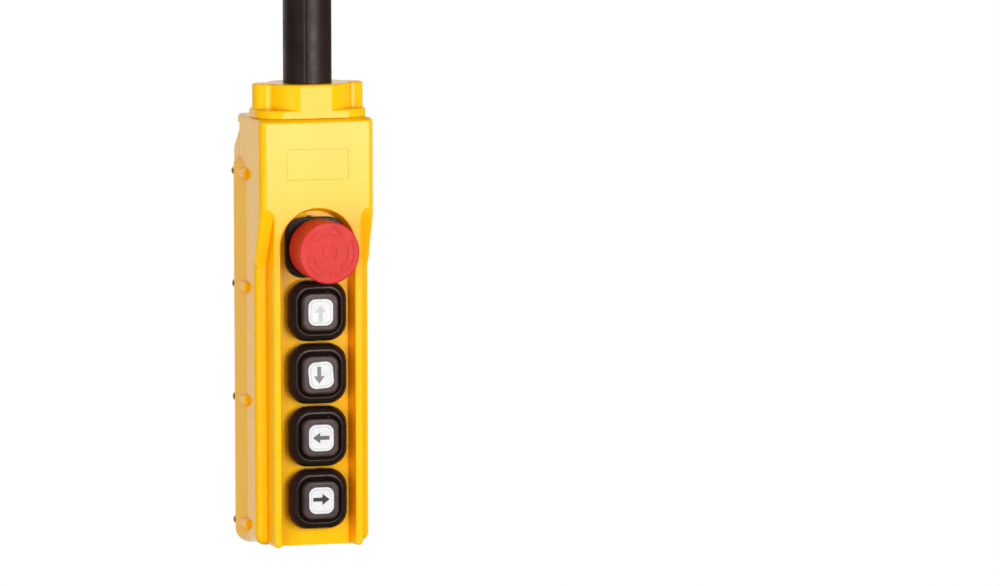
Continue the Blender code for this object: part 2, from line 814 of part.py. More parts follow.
def screw(name, head_radius, shank):
    """A socket-headed screw along +Z, with the underside of its head at height 0."""
    socket = SCREW_HEAD_HEIGHT - SCREW_SOCKET_DEPTH
    return turned(name, [
        (0.0, socket),
        (SCREW_SOCKET_RADIUS, socket),
        (SCREW_SOCKET_RADIUS, SCREW_HEAD_HEIGHT),
        (head_radius - SCREW_HEAD_CHAMFER, SCREW_HEAD_HEIGHT),
        (head_radius, SCREW_HEAD_HEIGHT - SCREW_HEAD_CHAMFER),
        (head_radius, 0.0),
        (SCREW_RADIUS, 0.0),
        (SCREW_RADIUS, -shank),
        (0.0, -shank - SCREW_RADIUS),
    ], SCREW_SIDES, "steel")


def cover_screws():
    head_y = FLANGE_BACK_Y + CLEARANCE
    shank = head_y - PARTING_Y + SCREW_BITE - SCREW_RADIUS
    for side, x, z, number in screw_places():
        fastener = screw("cover_screw_%s_%d" % (side, number), SCREW_HEAD_RADIUS, shank)
        fastener.rotation_euler.x = math.radians(-90)
        fastener.location = (x, head_y, z)


# Top cap, its seal and its screws

def cap_barrel_outline(inset):
    """An oval with a flat at the front and at the back."""
    half_width = CAP_BARREL_WIDTH / 2 - inset
    half_depth = CAP_BARREL_DEPTH / 2 - inset
    reach = CAP_FLAT_REACH - inset
    return [
        (across * half_width, max(-reach, min(reach, along * half_depth)))
        for across, along in circle(1.0, ROUND_SIDES * 2)
    ]


def top_edged(name, outline_at, low, high, finish=None):
    """A prism along +Z with a rounded top edge."""
    sections = [facing_up(outline_at(0.0), low)]
    for depth, inset in reversed(list(quarter_round(CAP_EDGE_RADIUS))):
        sections.append(facing_up(outline_at(inset), high - depth))
    return loft(name, sections, finish)


def flange_outline(inset):
    half = HALF_WIDTH - CAP_FLANGE_INSET - inset
    return rounded_square(half, CAP_FLAT_REACH - inset, CAP_CORNER_RADIUS - inset)


def top_cap():
    cap = top_edged("top_cap", flange_outline, CAP_BOTTOM, FLANGE_TOP, "yellow_plastic")
    inside = CAP_BOTTOM + CAP_FLANGE_HEIGHT / 2
    add(cap, top_edged("cap_barrel", cap_barrel_outline, inside, CAP_TOP))
    for side, sign in (("left", -1), ("right", 1)):
        def lug_outline(inset):
            middle = (CAP_LUG_SPREAD - CAP_LUG_INSET) * sign
            return [
                (middle + across, along)
                for across, along in circle(CAP_LUG_RADIUS - inset, HOLE_SIDES)
            ]
        add(cap, top_edged("cap_lug_" + side, lug_outline, inside, CAP_TOP))
    start = CAP_BOTTOM - OVERCUT
    foot_room = CAP_POCKET_TOP + SLEEVE_FOOT_HEIGHT + CLEARANCE - start
    pocket_outline = flange_outline(CAP_GASKET_INSET - CLEARANCE)
    pocket = loft("gasket_pocket", [
        facing_up(pocket_outline, start), facing_up(pocket_outline, CAP_POCKET_TOP),
    ])
    bore = rods("cap_bore", "Z", [
        ((0.0, 0.0, start), CAP_TOP - start + OVERCUT, SLEEVE_RADIUS + CLEARANCE, ROUND_SIDES),
    ])
    counterbore = rods("cap_counterbore", "Z", [
        ((0.0, 0.0, start), foot_room, SLEEVE_FOOT_RADIUS + CLEARANCE, ROUND_SIDES),
    ])
    lug_holes = rods("lug_holes", "Z", [
        ((CAP_LUG_SPREAD * sign, 0.0, start), SCREW_BITE + OVERCUT * 2, PILOT_RADIUS, SCREW_SIDES)
        for sign in (-1, 1)
    ])
    cut(cap, pocket, bore, counterbore, lug_holes)


def cap_seal():
    outline = flange_outline(CAP_GASKET_INSET)
    hole = circle(CABLE_HOLE_RADIUS, ROUND_SIDES)
    screw_holes = [
        [(CAP_LUG_SPREAD * sign + across, along) for across, along in circle(PILOT_RADIUS, SCREW_SIDES)]
        for sign in (-1, 1)
    ]
    seal = plate("cap_gasket", [outline, hole] + screw_holes, CAP_GASKET_THICKNESS, "seal_rubber")
    seal.location.z = CAP_BOTTOM + CAP_GASKET_THICKNESS / 2


def cap_screws():
    head_z = HOUSING_TOP - TOP_WALL - CLEARANCE
    shank = CAP_BOTTOM - head_z + SCREW_BITE - SCREW_RADIUS
    for side, sign in (("left", -1), ("right", 1)):
        fastener = screw("cap_screw_" + side, INNER_HEAD_RADIUS, shank)
        fastener.rotation_euler.x = math.radians(180)
        fastener.location = (CAP_LUG_SPREAD * sign, 0.0, head_z)


# Cable sleeve and clamp

def cable_sleeve():
    foot_low = CAP_POCKET_TOP
    foot_high = foot_low + SLEEVE_FOOT_HEIGHT
    turned("cable_sleeve", [
        (SLEEVE_MOUTH_RADIUS, 0.0),
        (SLEEVE_RADIUS, -SLEEVE_TAPER),
        (SLEEVE_RADIUS, foot_high),
        (SLEEVE_FOOT_RADIUS, foot_high),
        (SLEEVE_FOOT_RADIUS, foot_low),
        (SLEEVE_BORE_RADIUS, foot_low),
        (SLEEVE_BORE_RADIUS, 0.0),
    ], ROUND_SIDES, "black_rubber", closed=True)


def cable_clamp():
    half = CLAMP_SPREAD + CLAMP_POST_RADIUS
    z = HOUSING_TOP - CLAMP_DROP
    front = POST_END_Y + CLEARANCE
    back = front + CLAMP_THICKNESS
    bar = box(
        "cable_clamp", (-half, front, z - CLAMP_HEIGHT / 2), (half, back, z + CLAMP_HEIGHT / 2),
        "grey_plastic",
    )
    holes = rods("clamp_holes", "Y", [
        ((CLAMP_SPREAD * sign, front - OVERCUT, z), CLAMP_THICKNESS + OVERCUT * 2, PILOT_RADIUS,
         SCREW_SIDES)
        for sign in (-1, 1)
    ])
    saddle = rods("clamp_saddle", "Z", [
        ((0.0, 0.0, z - CLAMP_HEIGHT), CLAMP_HEIGHT * 2, front + CLAMP_SADDLE_DEPTH, ROUND_SIDES),
    ])
    cut(bar, holes, saddle)
    for side, sign in (("left", -1), ("right", 1)):
        head_y = back + CLEARANCE
        shank = head_y - POST_END_Y + SCREW_BITE - SCREW_RADIUS
        fastener = screw("clamp_screw_" + side, INNER_HEAD_RADIUS, shank)
        fastener.rotation_euler.x = math.radians(-90)
        fastener.location = (CLAMP_SPREAD * sign, head_y, z)


# Pieces shared by the push buttons and the emergency stop

def station_frame(name, z):
    """An empty on an element's axis, in the plane of the panel."""
    frame = bpy.data.objects.new(name, None)
    frame.location = (0.0, PANEL_Y, z)
    PARTS.objects.link(frame)
    return frame


def hang_on(frame, thing, turned_forward=False):
    thing.parent = frame
    if turned_forward:
        thing.rotation_euler.x = math.radians(90)


def lock_nut(frame, name, thread_radius):
    hexagon = circle(thread_radius + CLEARANCE + NUT_RIM, NUT_SIDES)
    hole = circle(thread_radius + CLEARANCE, ROUND_SIDES)
    nut = plate(name, [hexagon, hole], NUT_THICKNESS, "grey_plastic", upright=True)
    hang_on(frame, nut)
    nut.location.y = FRONT_WALL + CLEARANCE + NUT_THICKNESS / 2


def return_spring(frame, name, radius, low, high):
    """A helix between two seats, given as heights over the panel."""
    start = low + SPRING_WIRE_RADIUS + CLEARANCE
    end = high - SPRING_WIRE_RADIUS - CLEARANCE
    curve = bpy.data.curves.new(name, "CURVE")
    curve.dimensions = "3D"
    curve.bevel_depth = SPRING_WIRE_RADIUS
    curve.bevel_resolution = 0
    curve.use_fill_caps = True
    count = SPRING_TURNS * SPRING_POINTS
    spline = curve.splines.new("POLY")
    spline.points.add(count)
    for index, point in enumerate(spline.points):
        angle = math.tau * index / SPRING_POINTS
        height = start + (end - start) * index / count
        point.co = (radius * math.cos(angle), -height, radius * math.sin(angle), 1.0)
    thing = bpy.data.objects.new(name, curve)
    CUTTERS.objects.link(thing)
    spring = as_mesh(thing, "steel")
    hang_on(frame, spring)


def contact_block(frame, name, thread_radius, stem_end, travel):
    """A switch block clipped behind the lock nut, clear of the stem's full travel."""
    front = -stem_end + travel + CONTACT_GAP
    nut_back = FRONT_WALL + NUT_THICKNESS + CLEARANCE * 2
    inner = thread_radius + CLEARANCE
    half = inner + CONTACT_LEG
    outline = [
        (-half, nut_back), (-inner, nut_back), (-inner, front), (inner, front), (inner, nut_back),
        (half, nut_back), (half, front + CONTACT_DEPTH), (-half, front + CONTACT_DEPTH),
    ]
    block = plate(name, [outline], CONTACT_HEIGHT, "black_plastic")
    hang_on(frame, block)


# Push buttons

def boot_outside(half, height):
    radius = BOOT_CORNER_RADIUS * half / (BOOT_WIDTH / 2)
    half_length = half + (BOOT_LENGTH - BOOT_WIDTH) / 2
    return facing_front(rounded_square(half, half_length, radius), -height)


def boot(frame, name):
    """A rubber frame with a round shoulder; its lip lies over the bush's flange."""
    belly = BOOT_WIDTH / 2
    ridge = BOOT_RIDGE_WIDTH / 2
    sections = [
        boot_outside(belly - BOOT_FOOT_INSET, CLEARANCE),
        boot_outside(belly, BOOT_BELLY_HEIGHT),
    ]
    for step in range(1, FILLET_STEPS + 1):
        angle = math.radians(90 * step / FILLET_STEPS)
        across = ridge + (belly - ridge) * math.cos(angle)
        height = BOOT_BELLY_HEIGHT + (BOOT_HEIGHT - BOOT_BELLY_HEIGHT) * math.sin(angle)
        sections.append(boot_outside(across, height))
    opening = rounded_square(
        BUTTON_WIDTH / 2 + BOOT_GAP, BUTTON_LENGTH / 2 + BOOT_GAP, BUTTON_CORNER_RADIUS + BOOT_GAP,
    )
    room = BUSH_FLANGE_RADIUS + CLEARANCE
    seat = rounded_square(room, room, BUTTON_CORNER_RADIUS)
    lip = BUSH_FLANGE_HEIGHT + CLEARANCE * 2
    sections += [
        facing_front(opening, -BOOT_HEIGHT + BOOT_LIP_DROP),
        facing_front(opening, -lip),
        facing_front(seat, -lip),
        facing_front(seat, -CLEARANCE),
    ]
    hang_on(frame, loft(name, sections, "black_rubber", ring=True))


def push_button(frame, name):
    """The moving square face, its legend pocket and its stem with a stop foot."""
    half_width = BUTTON_WIDTH / 2
    half_length = BUTTON_LENGTH / 2
    rear = BUTTON_HEIGHT - BUTTON_THICKNESS
    foot_top = -BUSH_LENGTH - RUNNING_GAP
    foot_end = foot_top - STEM_FOOT_HEIGHT
    sections = [
        facing_front(disc(STEM_FOOT_RADIUS), -foot_end),
        facing_front(disc(STEM_FOOT_RADIUS), -foot_top),
        facing_front(disc(STEM_RADIUS), -foot_top),
        facing_front(disc(STEM_RADIUS), -rear),
        facing_front(rounded_square(half_width, half_length, BUTTON_CORNER_RADIUS), -rear),
    ]
    for depth, inset in reversed(list(quarter_round(BUTTON_EDGE_RADIUS))):
        outline = rounded_square(
            half_width - inset, half_length - inset, BUTTON_CORNER_RADIUS - inset,
        )
        sections.append(facing_front(outline, -BUTTON_HEIGHT + depth))
    pocket = rounded_square(
        LEGEND_WIDTH / 2 + CLEARANCE, LEGEND_LENGTH / 2 + CLEARANCE, LEGEND_CORNER_RADIUS + CLEARANCE,
    )
    sections.append(facing_front(pocket, -BUTTON_HEIGHT))
    sections.append(facing_front(pocket, -BUTTON_HEIGHT + LEGEND_POCKET))
    hang_on(frame, loft(name, sections, "black_rubber"))
    return foot_end


def legend(frame, name):
    """The white tile in the button's face, with a raised rim."""
    def tile(inset, height):
        outline = rounded_square(
            LEGEND_WIDTH / 2 - inset, LEGEND_LENGTH / 2 - inset, LEGEND_CORNER_RADIUS - inset,
        )
        return facing_front(outline, -height)
    top = BUTTON_HEIGHT + LEGEND_PROUD
    bottom = BUTTON_HEIGHT - LEGEND_POCKET + CLEARANCE
    thing = loft(name, [
        tile(0.0, bottom), tile(0.0, top - LEGEND_DISH), tile(LEGEND_DISH, top),
        tile(LEGEND_RIM, top), tile(LEGEND_RIM + LEGEND_DISH, top - LEGEND_DISH),
    ], "white_plastic")
    hang_on(frame, thing)


def guide_bush(frame, name):
    bore = BUSH_RADIUS - BUSH_WALL
    lip_radius = STEM_RADIUS + RUNNING_GAP
    flange_top = BUSH_FLANGE_HEIGHT + CLEARANCE
    lip_top = -BUSH_LENGTH + BUSH_LIP
    thing = turned(name, [
        (BUSH_FLANGE_RADIUS, flange_top),
        (BUSH_FLANGE_RADIUS, CLEARANCE),
        (BUSH_RADIUS, CLEARANCE),
        (BUSH_RADIUS, -BUSH_LENGTH),
        (lip_radius, -BUSH_LENGTH),
        (lip_radius, lip_top),
        (bore, lip_top),
        (bore, flange_top),
    ], ROUND_SIDES, "black_plastic", closed=True)
    hang_on(frame, thing, turned_forward=True)


def push_button_set(name, z):
    frame = station_frame(name + "_axis", z)
    boot(frame, name + "_boot")
    stem_end = push_button(frame, name + "_button")
    legend(frame, name + "_legend")
    guide_bush(frame, name + "_bush")
    lock_nut(frame, name + "_nut", BUSH_RADIUS)
    spring_radius = STEM_RADIUS + SPRING_SIDE_GAP + SPRING_WIRE_RADIUS
    spring_low = -BUSH_LENGTH + BUSH_LIP
    return_spring(frame, name + "_spring", spring_radius, spring_low, BUTTON_HEIGHT - BUTTON_THICKNESS)
    contact_block(frame, name + "_contact_block", BUSH_RADIUS, stem_end, BUTTON_TRAVEL)


# Emergency stop

def estop_collar(frame):
    """A square collar with a round neck in front and a threaded barrel behind."""
    half = COLLAR_WIDTH / 2
    def square(inset, height):
        outline = rounded_square(half - inset, half - inset, COLLAR_CORNER_RADIUS - inset)
        return facing_front(outline, -height)
    def round_at(radius, height):
        return facing_front(disc(radius), -height)
    lip_radius = ESTOP_STEM_RADIUS + RUNNING_GAP
    lip_top = -COLLAR_BARREL_LENGTH + COLLAR_LIP
    thing = loft("estop_collar", [
        round_at(COLLAR_NECK_RADIUS, COLLAR_NECK_HEIGHT),
        round_at(COLLAR_NECK_RADIUS, COLLAR_HEIGHT),
        square(COLLAR_EDGE_RADIUS, COLLAR_HEIGHT),
        square(0.0, COLLAR_HEIGHT - COLLAR_EDGE_RADIUS),
        square(0.0, CLEARANCE),
        round_at(COLLAR_BARREL_RADIUS, CLEARANCE),
        round_at(COLLAR_BARREL_RADIUS, -COLLAR_BARREL_LENGTH),
        round_at(lip_radius, -COLLAR_BARREL_LENGTH),
        round_at(lip_radius, lip_top),
        round_at(COLLAR_BORE_RADIUS, lip_top),
        round_at(COLLAR_BORE_RADIUS, COLLAR_NECK_HEIGHT),
    ], "black_plastic", ring=True)
    hang_on(frame, thing)


def estop_head(frame):
    """The mushroom head, hollow behind so that it can pass over the collar's neck."""
    profile = [(0.0, HEAD_HEIGHT)]
    for depth, inset in quarter_round(HEAD_EDGE_RADIUS):
        profile.append((HEAD_RADIUS - inset, HEAD_HEIGHT - depth))
    hollow = HEAD_REAR_HEIGHT + HEAD_HOLLOW_DEPTH
    socket = ESTOP_STEM_RADIUS + CLEARANCE
    rear = HEAD_RADIUS - HEAD_TAPER
    profile += [
        (rear, HEAD_REAR_HEIGHT),
        (rear - HEAD_SKIRT, HEAD_REAR_HEIGHT),
        (rear - HEAD_SKIRT, hollow),
        (socket, hollow),
        (socket, HEAD_HEIGHT - HEAD_FRONT_WALL),
        (0.0, HEAD_HEIGHT - HEAD_FRONT_WALL),
    ]
    head = turned("estop_head", profile, ROUND_SIDES * 2, "red_plastic")
    hang_on(frame, head, turned_forward=True)
    return hollow


def estop_stem(frame):
    top = HEAD_HEIGHT - HEAD_FRONT_WALL - CLEARANCE
    foot_top = -COLLAR_BARREL_LENGTH - RUNNING_GAP
    foot_end = foot_top - STEM_FOOT_HEIGHT
    stem = turned("estop_stem", [
        (0.0, top),
        (ESTOP_STEM_RADIUS, top),
        (ESTOP_STEM_RADIUS, foot_top),
        (ESTOP_FOOT_RADIUS, foot_top),
        (ESTOP_FOOT_RADIUS, foot_end),
        (0.0, foot_end),
    ], ROUND_SIDES, "grey_plastic")
    hang_on(frame, stem, turned_forward=True)
    return foot_end


def emergency_stop(z):
    frame = station_frame("estop_axis", z)
    estop_collar(frame)
    hollow = estop_head(frame)
    stem_end = estop_stem(frame)
    lock_nut(frame, "estop_nut", COLLAR_BARREL_RADIUS)
    spring_radius = ESTOP_STEM_RADIUS + SPRING_SIDE_GAP + SPRING_WIRE_RADIUS
    spring_low = -COLLAR_BARREL_LENGTH + COLLAR_LIP
    return_spring(frame, "estop_spring", spring_radius, spring_low, hollow)
    contact_block(frame, "estop_contact_block", COLLAR_BARREL_RADIUS, stem_end, ESTOP_TRAVEL)


# Build

front_housing()
rear_cover()
cover_screws()
top_cap()
cap_seal()
cap_screws()
cable_sleeve()
cable_clamp()
stations = element_stations()
emergency_stop(stations[0])
for button_name, station in zip(BUTTON_NAMES, stations[1:]):
    push_button_set(button_name, station)
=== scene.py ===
from math import atan2, copysign, cos, pi, radians, sin, sqrt, tan, tau

import bmesh
import bpy
from mathutils import Matrix, Vector


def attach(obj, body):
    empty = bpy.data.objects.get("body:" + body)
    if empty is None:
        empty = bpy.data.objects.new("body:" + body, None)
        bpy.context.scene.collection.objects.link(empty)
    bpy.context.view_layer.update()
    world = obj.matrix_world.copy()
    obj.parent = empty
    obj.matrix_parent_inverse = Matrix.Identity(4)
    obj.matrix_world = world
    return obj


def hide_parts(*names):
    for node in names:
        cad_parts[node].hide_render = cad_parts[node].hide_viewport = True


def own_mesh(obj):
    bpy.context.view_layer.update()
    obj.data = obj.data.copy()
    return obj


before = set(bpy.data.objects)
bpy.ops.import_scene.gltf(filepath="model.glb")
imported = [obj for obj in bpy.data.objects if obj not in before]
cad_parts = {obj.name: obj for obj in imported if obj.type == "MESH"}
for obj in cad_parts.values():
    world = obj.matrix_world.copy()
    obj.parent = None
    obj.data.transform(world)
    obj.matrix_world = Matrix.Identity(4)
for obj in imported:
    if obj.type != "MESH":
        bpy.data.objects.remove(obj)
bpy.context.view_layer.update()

# Fits
CLEARANCE = 0.0003
RUNNING_GAP = 0.0004

# Cable sleeve
SLEEVE_RISE = 0.0993
SLEEVE_RADIUS = 0.0137
SLEEVE_MOUTH_RADIUS = 0.0098
SLEEVE_TAPER = 0.042
SLEEVE_BORE_RADIUS = 0.007
SLEEVE_FOOT_OVERHANG = 0.0035
SLEEVE_FOOT_HEIGHT = 0.0035
SLEEVE_MOUTH_EDGE = 0.0008
SEAM_DEPTH = 0.00022
SEAM_TURN = radians(-109.8)

# Top cap
CAP_BARREL_WIDTH = 0.0476
CAP_BARREL_DEPTH = 0.0428
CAP_BARREL_HEIGHT = 0.0142
CAP_FLAT_REACH = 0.0193
CAP_FLAT_SHARPNESS = 30
CAP_FLANGE_INSET = 0.0009
CAP_FLANGE_HEIGHT = 0.0045
CAP_CORNER_RADIUS = 0.0145
CAP_LUG_RADIUS = 0.0071
CAP_LUG_INSET = 0.0014
CAP_LUG_SPREAD = 0.0262
CAP_EDGE_RADIUS = 0.0013
CAP_SEAT_GAP = 0.0001
CAP_GASKET_THICKNESS = 0.001
CAP_GASKET_INSET = 0.0018

# Housing shell
HOUSING_WIDTH = 0.066
HOUSING_HEIGHT = 0.2418
SIDE_WALL = 0.004
TOP_WALL = 0.0032
FRONT_WALL = 0.003
FRONT_REACH = 0.0225
PARTING_REACH = 0.0262
EDGE_RADIUS = 0.0036
EDGE_DEPTH = 0.0052
TOP_EDGE_RADIUS = 0.0025
BOTTOM_CORNER_RADIUS = 0.0055
TOP_CORNER_RADIUS = 0.0027
TOP_LIP = 0.0118
TOP_LIP_THICKNESS = 0.0045
HOOD_REACH = 0.0037
HOOD_HEIGHT = 0.0056
HOOD_EDGE = 0.0012
PARTING_EDGE = 0.0005
CABLE_HOLE_RADIUS = 0.009

# Front face, sloped shoulders and guard walls
FACE_DROP = 0.0523
SLOPE_LENGTH = 0.030
SLOPE_EDGE_RISE = 0.008
SLOPE_BEND_RADIUS = 0.010
SHOULDER_STEP = 0.0125
GUARD_WIDTH = 0.0042
GUARD_FILLET = 0.006
GUARD_EDGE_RADIUS = 0.0014
GUARD_END_RADIUS = 0.0019
GUARD_LEAN = 0.0016
LABEL_WIDTH = 0.035
LABEL_HEIGHT = 0.017
LABEL_DROP = 0.0170
LABEL_DEPTH = 0.0003
LABEL_LEAN = 0.0003

# Button recess
RECESS_WIDTH = 0.0428
RECESS_DEPTH = 0.009
RECESS_LEAN = 0.25
RECESS_RIM_RADIUS = 0.0009
ARCH_RISE = 0.001
ESTOP_DROP = 0.0728
BUTTON_PITCH = 0.0355

# Screw flange and rear cover
FLARE_REACH = 0.0027
FLARE_DEPTH = 0.0155
FLARE_DROP = 0.0238
FLARE_RUN = 0.0052
FLARE_ROUND = 1.65
COVER_DEPTH = 0.0145
COVER_FLANGE = 0.0038
COVER_FLANGE_EDGE = 0.001
COVER_DROP = 0.0072
COVER_SLOPE = 0.013
COVER_SIDE_WALL = 0.006
COVER_BACK_WALL = 0.0025
COVER_EDGE_RADIUS = 0.003
GASKET_INSET = 0.0019
GASKET_WIDTH = 0.001
GASKET_THICKNESS = 0.001
SCREW_SPREAD = 0.0334
SCREW_DROPS = (0.0329, 0.0969, 0.1614, 0.2318)
BOSS_RADIUS = 0.0035
BOSS_INSET = 0.001
BOSS_LEAD = 0.0021
HEAD_ROOM = 0.001

# Screws
SCREW_RADIUS = 0.0012
SCREW_HEAD_RADIUS = 0.0029
SCREW_HEAD_HEIGHT = 0.0023
SCREW_HEAD_EDGE = 0.0006
SCREW_BITE = 0.008
SCREW_SOCKET_RADIUS = 0.0014
SCREW_SOCKET_DEPTH = 0.001
SCREW_SOCKET_SIDES = 6

# Cable clamp posts
CLAMP_DROP = 0.0318
CLAMP_SPREAD = 0.0125
CLAMP_POST_RADIUS = 0.0032

# Push buttons
BUTTON_NAMES = ("up", "down", "left", "right")
BOOT_WIDTH = 0.0337
BOOT_LENGTH = 0.0342
BOOT_HEIGHT = 0.011
BOOT_BELLY_HEIGHT = 0.005
BOOT_RIDGE_WIDTH = 0.0244
BOOT_RIDGE_ROUND = 0.0008
BOOT_RIDGE_WRAP_DEGREES = 130
BOOT_CORNER_RADIUS = 0.0105
BOOT_LIP_DROP = 0.0022
BOOT_FOOT_INSET = 0.001
BOOT_GAP = 0.0005
BUTTON_WIDTH = 0.0205
BUTTON_LENGTH = 0.0213
BUTTON_HEIGHT = 0.014
BUTTON_THICKNESS = 0.0072
BUTTON_CORNER_RADIUS = 0.005
BUTTON_EDGE_RADIUS = 0.0012
LEGEND_WIDTH = 0.0143
LEGEND_LENGTH = 0.015
LEGEND_CORNER_RADIUS = 0.0042
LEGEND_PROUD = 0.0006
LEGEND_POCKET = 0.001
LEGEND_EDGE = 0.0003
LEGEND_RIM = 0.0011
LEGEND_DISH = 0.0006
LEGEND_TILT = radians(4)
STEM_RADIUS = 0.005
STEM_FOOT_RADIUS = 0.0063
STEM_FOOT_HEIGHT = 0.0015
BUSH_RADIUS = 0.010
BUSH_FLANGE_RADIUS = 0.0123
BUSH_FLANGE_HEIGHT = 0.0015
BUSH_LENGTH = 0.010

# Arrows printed on the legends
ARROW_LENGTH = 0.0095
ARROW_HEAD_LENGTH = 0.0042
ARROW_HEAD_WIDTH = 0.0063
ARROW_SHAFT_WIDTH = 0.0022
ARROW_FILM = 0.00006
ARROW_TURNS = {"up": 0, "down": 180, "left": 90, "right": -90}
ARROW_SHIFTS = {"up": (0.0, -0.0007), "down": (-0.001, 0.0), "left": (0.0, 0.0), "right": (0.0, 0.0006)}

# Emergency stop
COLLAR_WIDTH = 0.0342
COLLAR_HEIGHT = 0.003
COLLAR_CORNER_RADIUS = 0.0108
COLLAR_FRONT_CORNER = 0.0092
COLLAR_EDGE_RADIUS = 0.0008
COLLAR_NECK_RADIUS = 0.0128
COLLAR_NECK_HEIGHT = 0.009
COLLAR_BARREL_RADIUS = 0.011
COLLAR_BORE_RADIUS = 0.0082
COLLAR_BARREL_LENGTH = 0.009
COLLAR_LIP = 0.0015
NUB_PLACE = -0.0032
NUB_WIDTH = 0.002
NUB_HEIGHT = 0.0008
HEAD_RADIUS = 0.0174
HEAD_HEIGHT = 0.0347
HEAD_REAR_HEIGHT = 0.009
HEAD_TAPER = 0.0006
HEAD_EDGE_RADIUS = 0.001
HEAD_HOLLOW_DEPTH = 0.009
HEAD_SKIRT = 0.003
HEAD_FRONT_WALL = 0.007
HEAD_RIBS = 96
HEAD_RIB_DEPTH = 0.0003
HEAD_RIB_MARGIN = 0.0022
ESTOP_STEM_RADIUS = 0.006

# Turn arrows engraved in the head; tips, sweep and head are in degrees clockwise from the top
TURN_ARROW_TIPS = (30, 147, 262)
TURN_ARROW_SWEEP = 82
TURN_ARROW_HEAD = 20
TURN_ARROW_INNER = 0.0104
TURN_ARROW_OUTER = 0.0138
TURN_ARROW_BARB = 0.0014
CENTRE_RING_RADIUS = 0.004
GROOVE_WIDTH = 0.00055
GROOVE_DEPTH = 0.0004
GROOVE_LEAST_LEAN = 0.5

# Facets round each kind of curve
CORNER_STEPS = 8
FILLET_STEPS = 6
BEND_STEPS = 4
FLARE_STEPS = 12
ARCH_STEPS = 48
ROUND_SIDES = 64
HOLE_SIDES = 40
SCREW_SIDES = 24
RIB_POINTS = 4
TURN_ARROW_STEPS = 14
REAR_EDGE_STEPS = 3

# How far a cutter runs past the face that it opens, and how far a joined form stays behind a flush face
OVERCUT = 0.002
FLUSH_STEP = 0.00005

# How close points are welded, and the angles over which an edge is shaded sharp
WELD_DISTANCE = 1e-7
SHARP_ANGLE = radians(32)
SLEEVE_SHARP_ANGLE = radians(15)
HEAD_SHARP_ANGLE = radians(24)

# Ways to combine two closed forms
JOIN = "UNION"
CUT = "DIFFERENCE"

# Places worked out from the sizes above
CAP_TOP = -SLEEVE_RISE
FLANGE_TOP = CAP_TOP - CAP_BARREL_HEIGHT
CAP_BOTTOM = FLANGE_TOP - CAP_FLANGE_HEIGHT
CAP_POCKET_TOP = CAP_BOTTOM + CAP_GASKET_THICKNESS + CLEARANCE
HOUSING_TOP = CAP_BOTTOM - CLEARANCE
HOUSING_BOTTOM = HOUSING_TOP - HOUSING_HEIGHT
HALF_WIDTH = HOUSING_WIDTH / 2
INNER_HALF = HALF_WIDTH - SIDE_WALL
FRONT_Y = -FRONT_REACH
SHOULDER_Y = FRONT_Y + SHOULDER_STEP
PANEL_Y = FRONT_Y + RECESS_DEPTH
HEAD_FACE_Y = PANEL_Y - HEAD_HEIGHT
PARTING_Y = PARTING_REACH
COVER_FRONT_Y = PARTING_Y + CLEARANCE
COVER_BACK_Y = COVER_FRONT_Y + COVER_DEPTH
FLANGE_BACK_Y = COVER_FRONT_Y + COVER_FLANGE
COVER_TOP = HOUSING_TOP - COVER_DROP
SEAL_FRONT_Y = PARTING_Y + CLEARANCE / 2
CREASE_Y = PARTING_Y - FLARE_DEPTH
RECESS_RADIUS = RECESS_WIDTH / 2
ESTOP_Z = HOUSING_TOP - ESTOP_DROP
ARCH_Z = ESTOP_Z + ARCH_RISE
ARCH_TOP = ARCH_Z + RECESS_RADIUS
PILOT_RADIUS = SCREW_RADIUS + CLEARANCE
SLEEVE_FOOT_RADIUS = SLEEVE_RADIUS + SLEEVE_FOOT_OVERHANG
POST_END_Y = SLEEVE_BORE_RADIUS + CLEARANCE
LEGEND_TOP = BUTTON_HEIGHT + LEGEND_PROUD
FACE_LOW = HOUSING_TOP - FACE_DROP
SLOPE_LOW = FACE_LOW - SLOPE_LENGTH
SLOPE_ANGLE = atan2(SHOULDER_STEP, SLOPE_LENGTH)
SLOPE_EASE = SLOPE_BEND_RADIUS * tan(SLOPE_ANGLE / 2)
STATIONS = [ESTOP_Z - BUTTON_PITCH * number for number in range(len(BUTTON_NAMES) + 1)]
CLAMP_PLACES = [(CLAMP_SPREAD * sign, HOUSING_TOP - CLAMP_DROP) for sign in (-1, 1)]
SCREW_PLACES = {
    "%s_%d" % (side, number): (SCREW_SPREAD * sign, HOUSING_TOP - drop)
    for side, sign in (("left", -1), ("right", 1))
    for number, drop in enumerate(SCREW_DROPS, 1)
}


# Building blocks

def add_object(name, data):
    thing = bpy.data.objects.new(name, data)
    bpy.context.scene.collection.objects.link(thing)
    return thing


def mesh_object(name, shape):
    mesh = bpy.data.meshes.new(name)
    bmesh.ops.recalc_face_normals(shape, faces=shape.faces)
    shape.to_mesh(mesh)
    shape.free()
    return add_object(name, mesh)


def loft(name, sections, ring=False):
    """Skin a run of closed outlines with equal point counts, capped unless it closes on itself."""
    shape = bmesh.new()
    rows = [[shape.verts.new(point) for point in section] for section in sections]
    count = len(rows[0])
    pairs = list(zip(rows, rows[1:]))
    if ring:
        pairs.append((rows[-1], rows[0]))
    for lower, upper in pairs:
        for index in range(count):
            following = (index + 1) % count
            shape.faces.new((lower[index], lower[following], upper[following], upper[index]))
    if not ring:
        shape.faces.new(rows[0])
        shape.faces.new(rows[-1])
    bmesh.ops.remove_doubles(shape, verts=shape.verts, dist=WELD_DISTANCE)
    return mesh_object(name, shape)


def facing_front(outline, y, z=0.0):
    return [(across, y, along + z) for across, along in outline]


def facing_up(outline, z):
    return [(across, along, z) for across, along in outline]


def prism(name, outline, start, end, z=0.0):
    """A straight form from one depth back to another."""
    return loft(name, [facing_front(outline, start, z), facing_front(outline, end, z)])


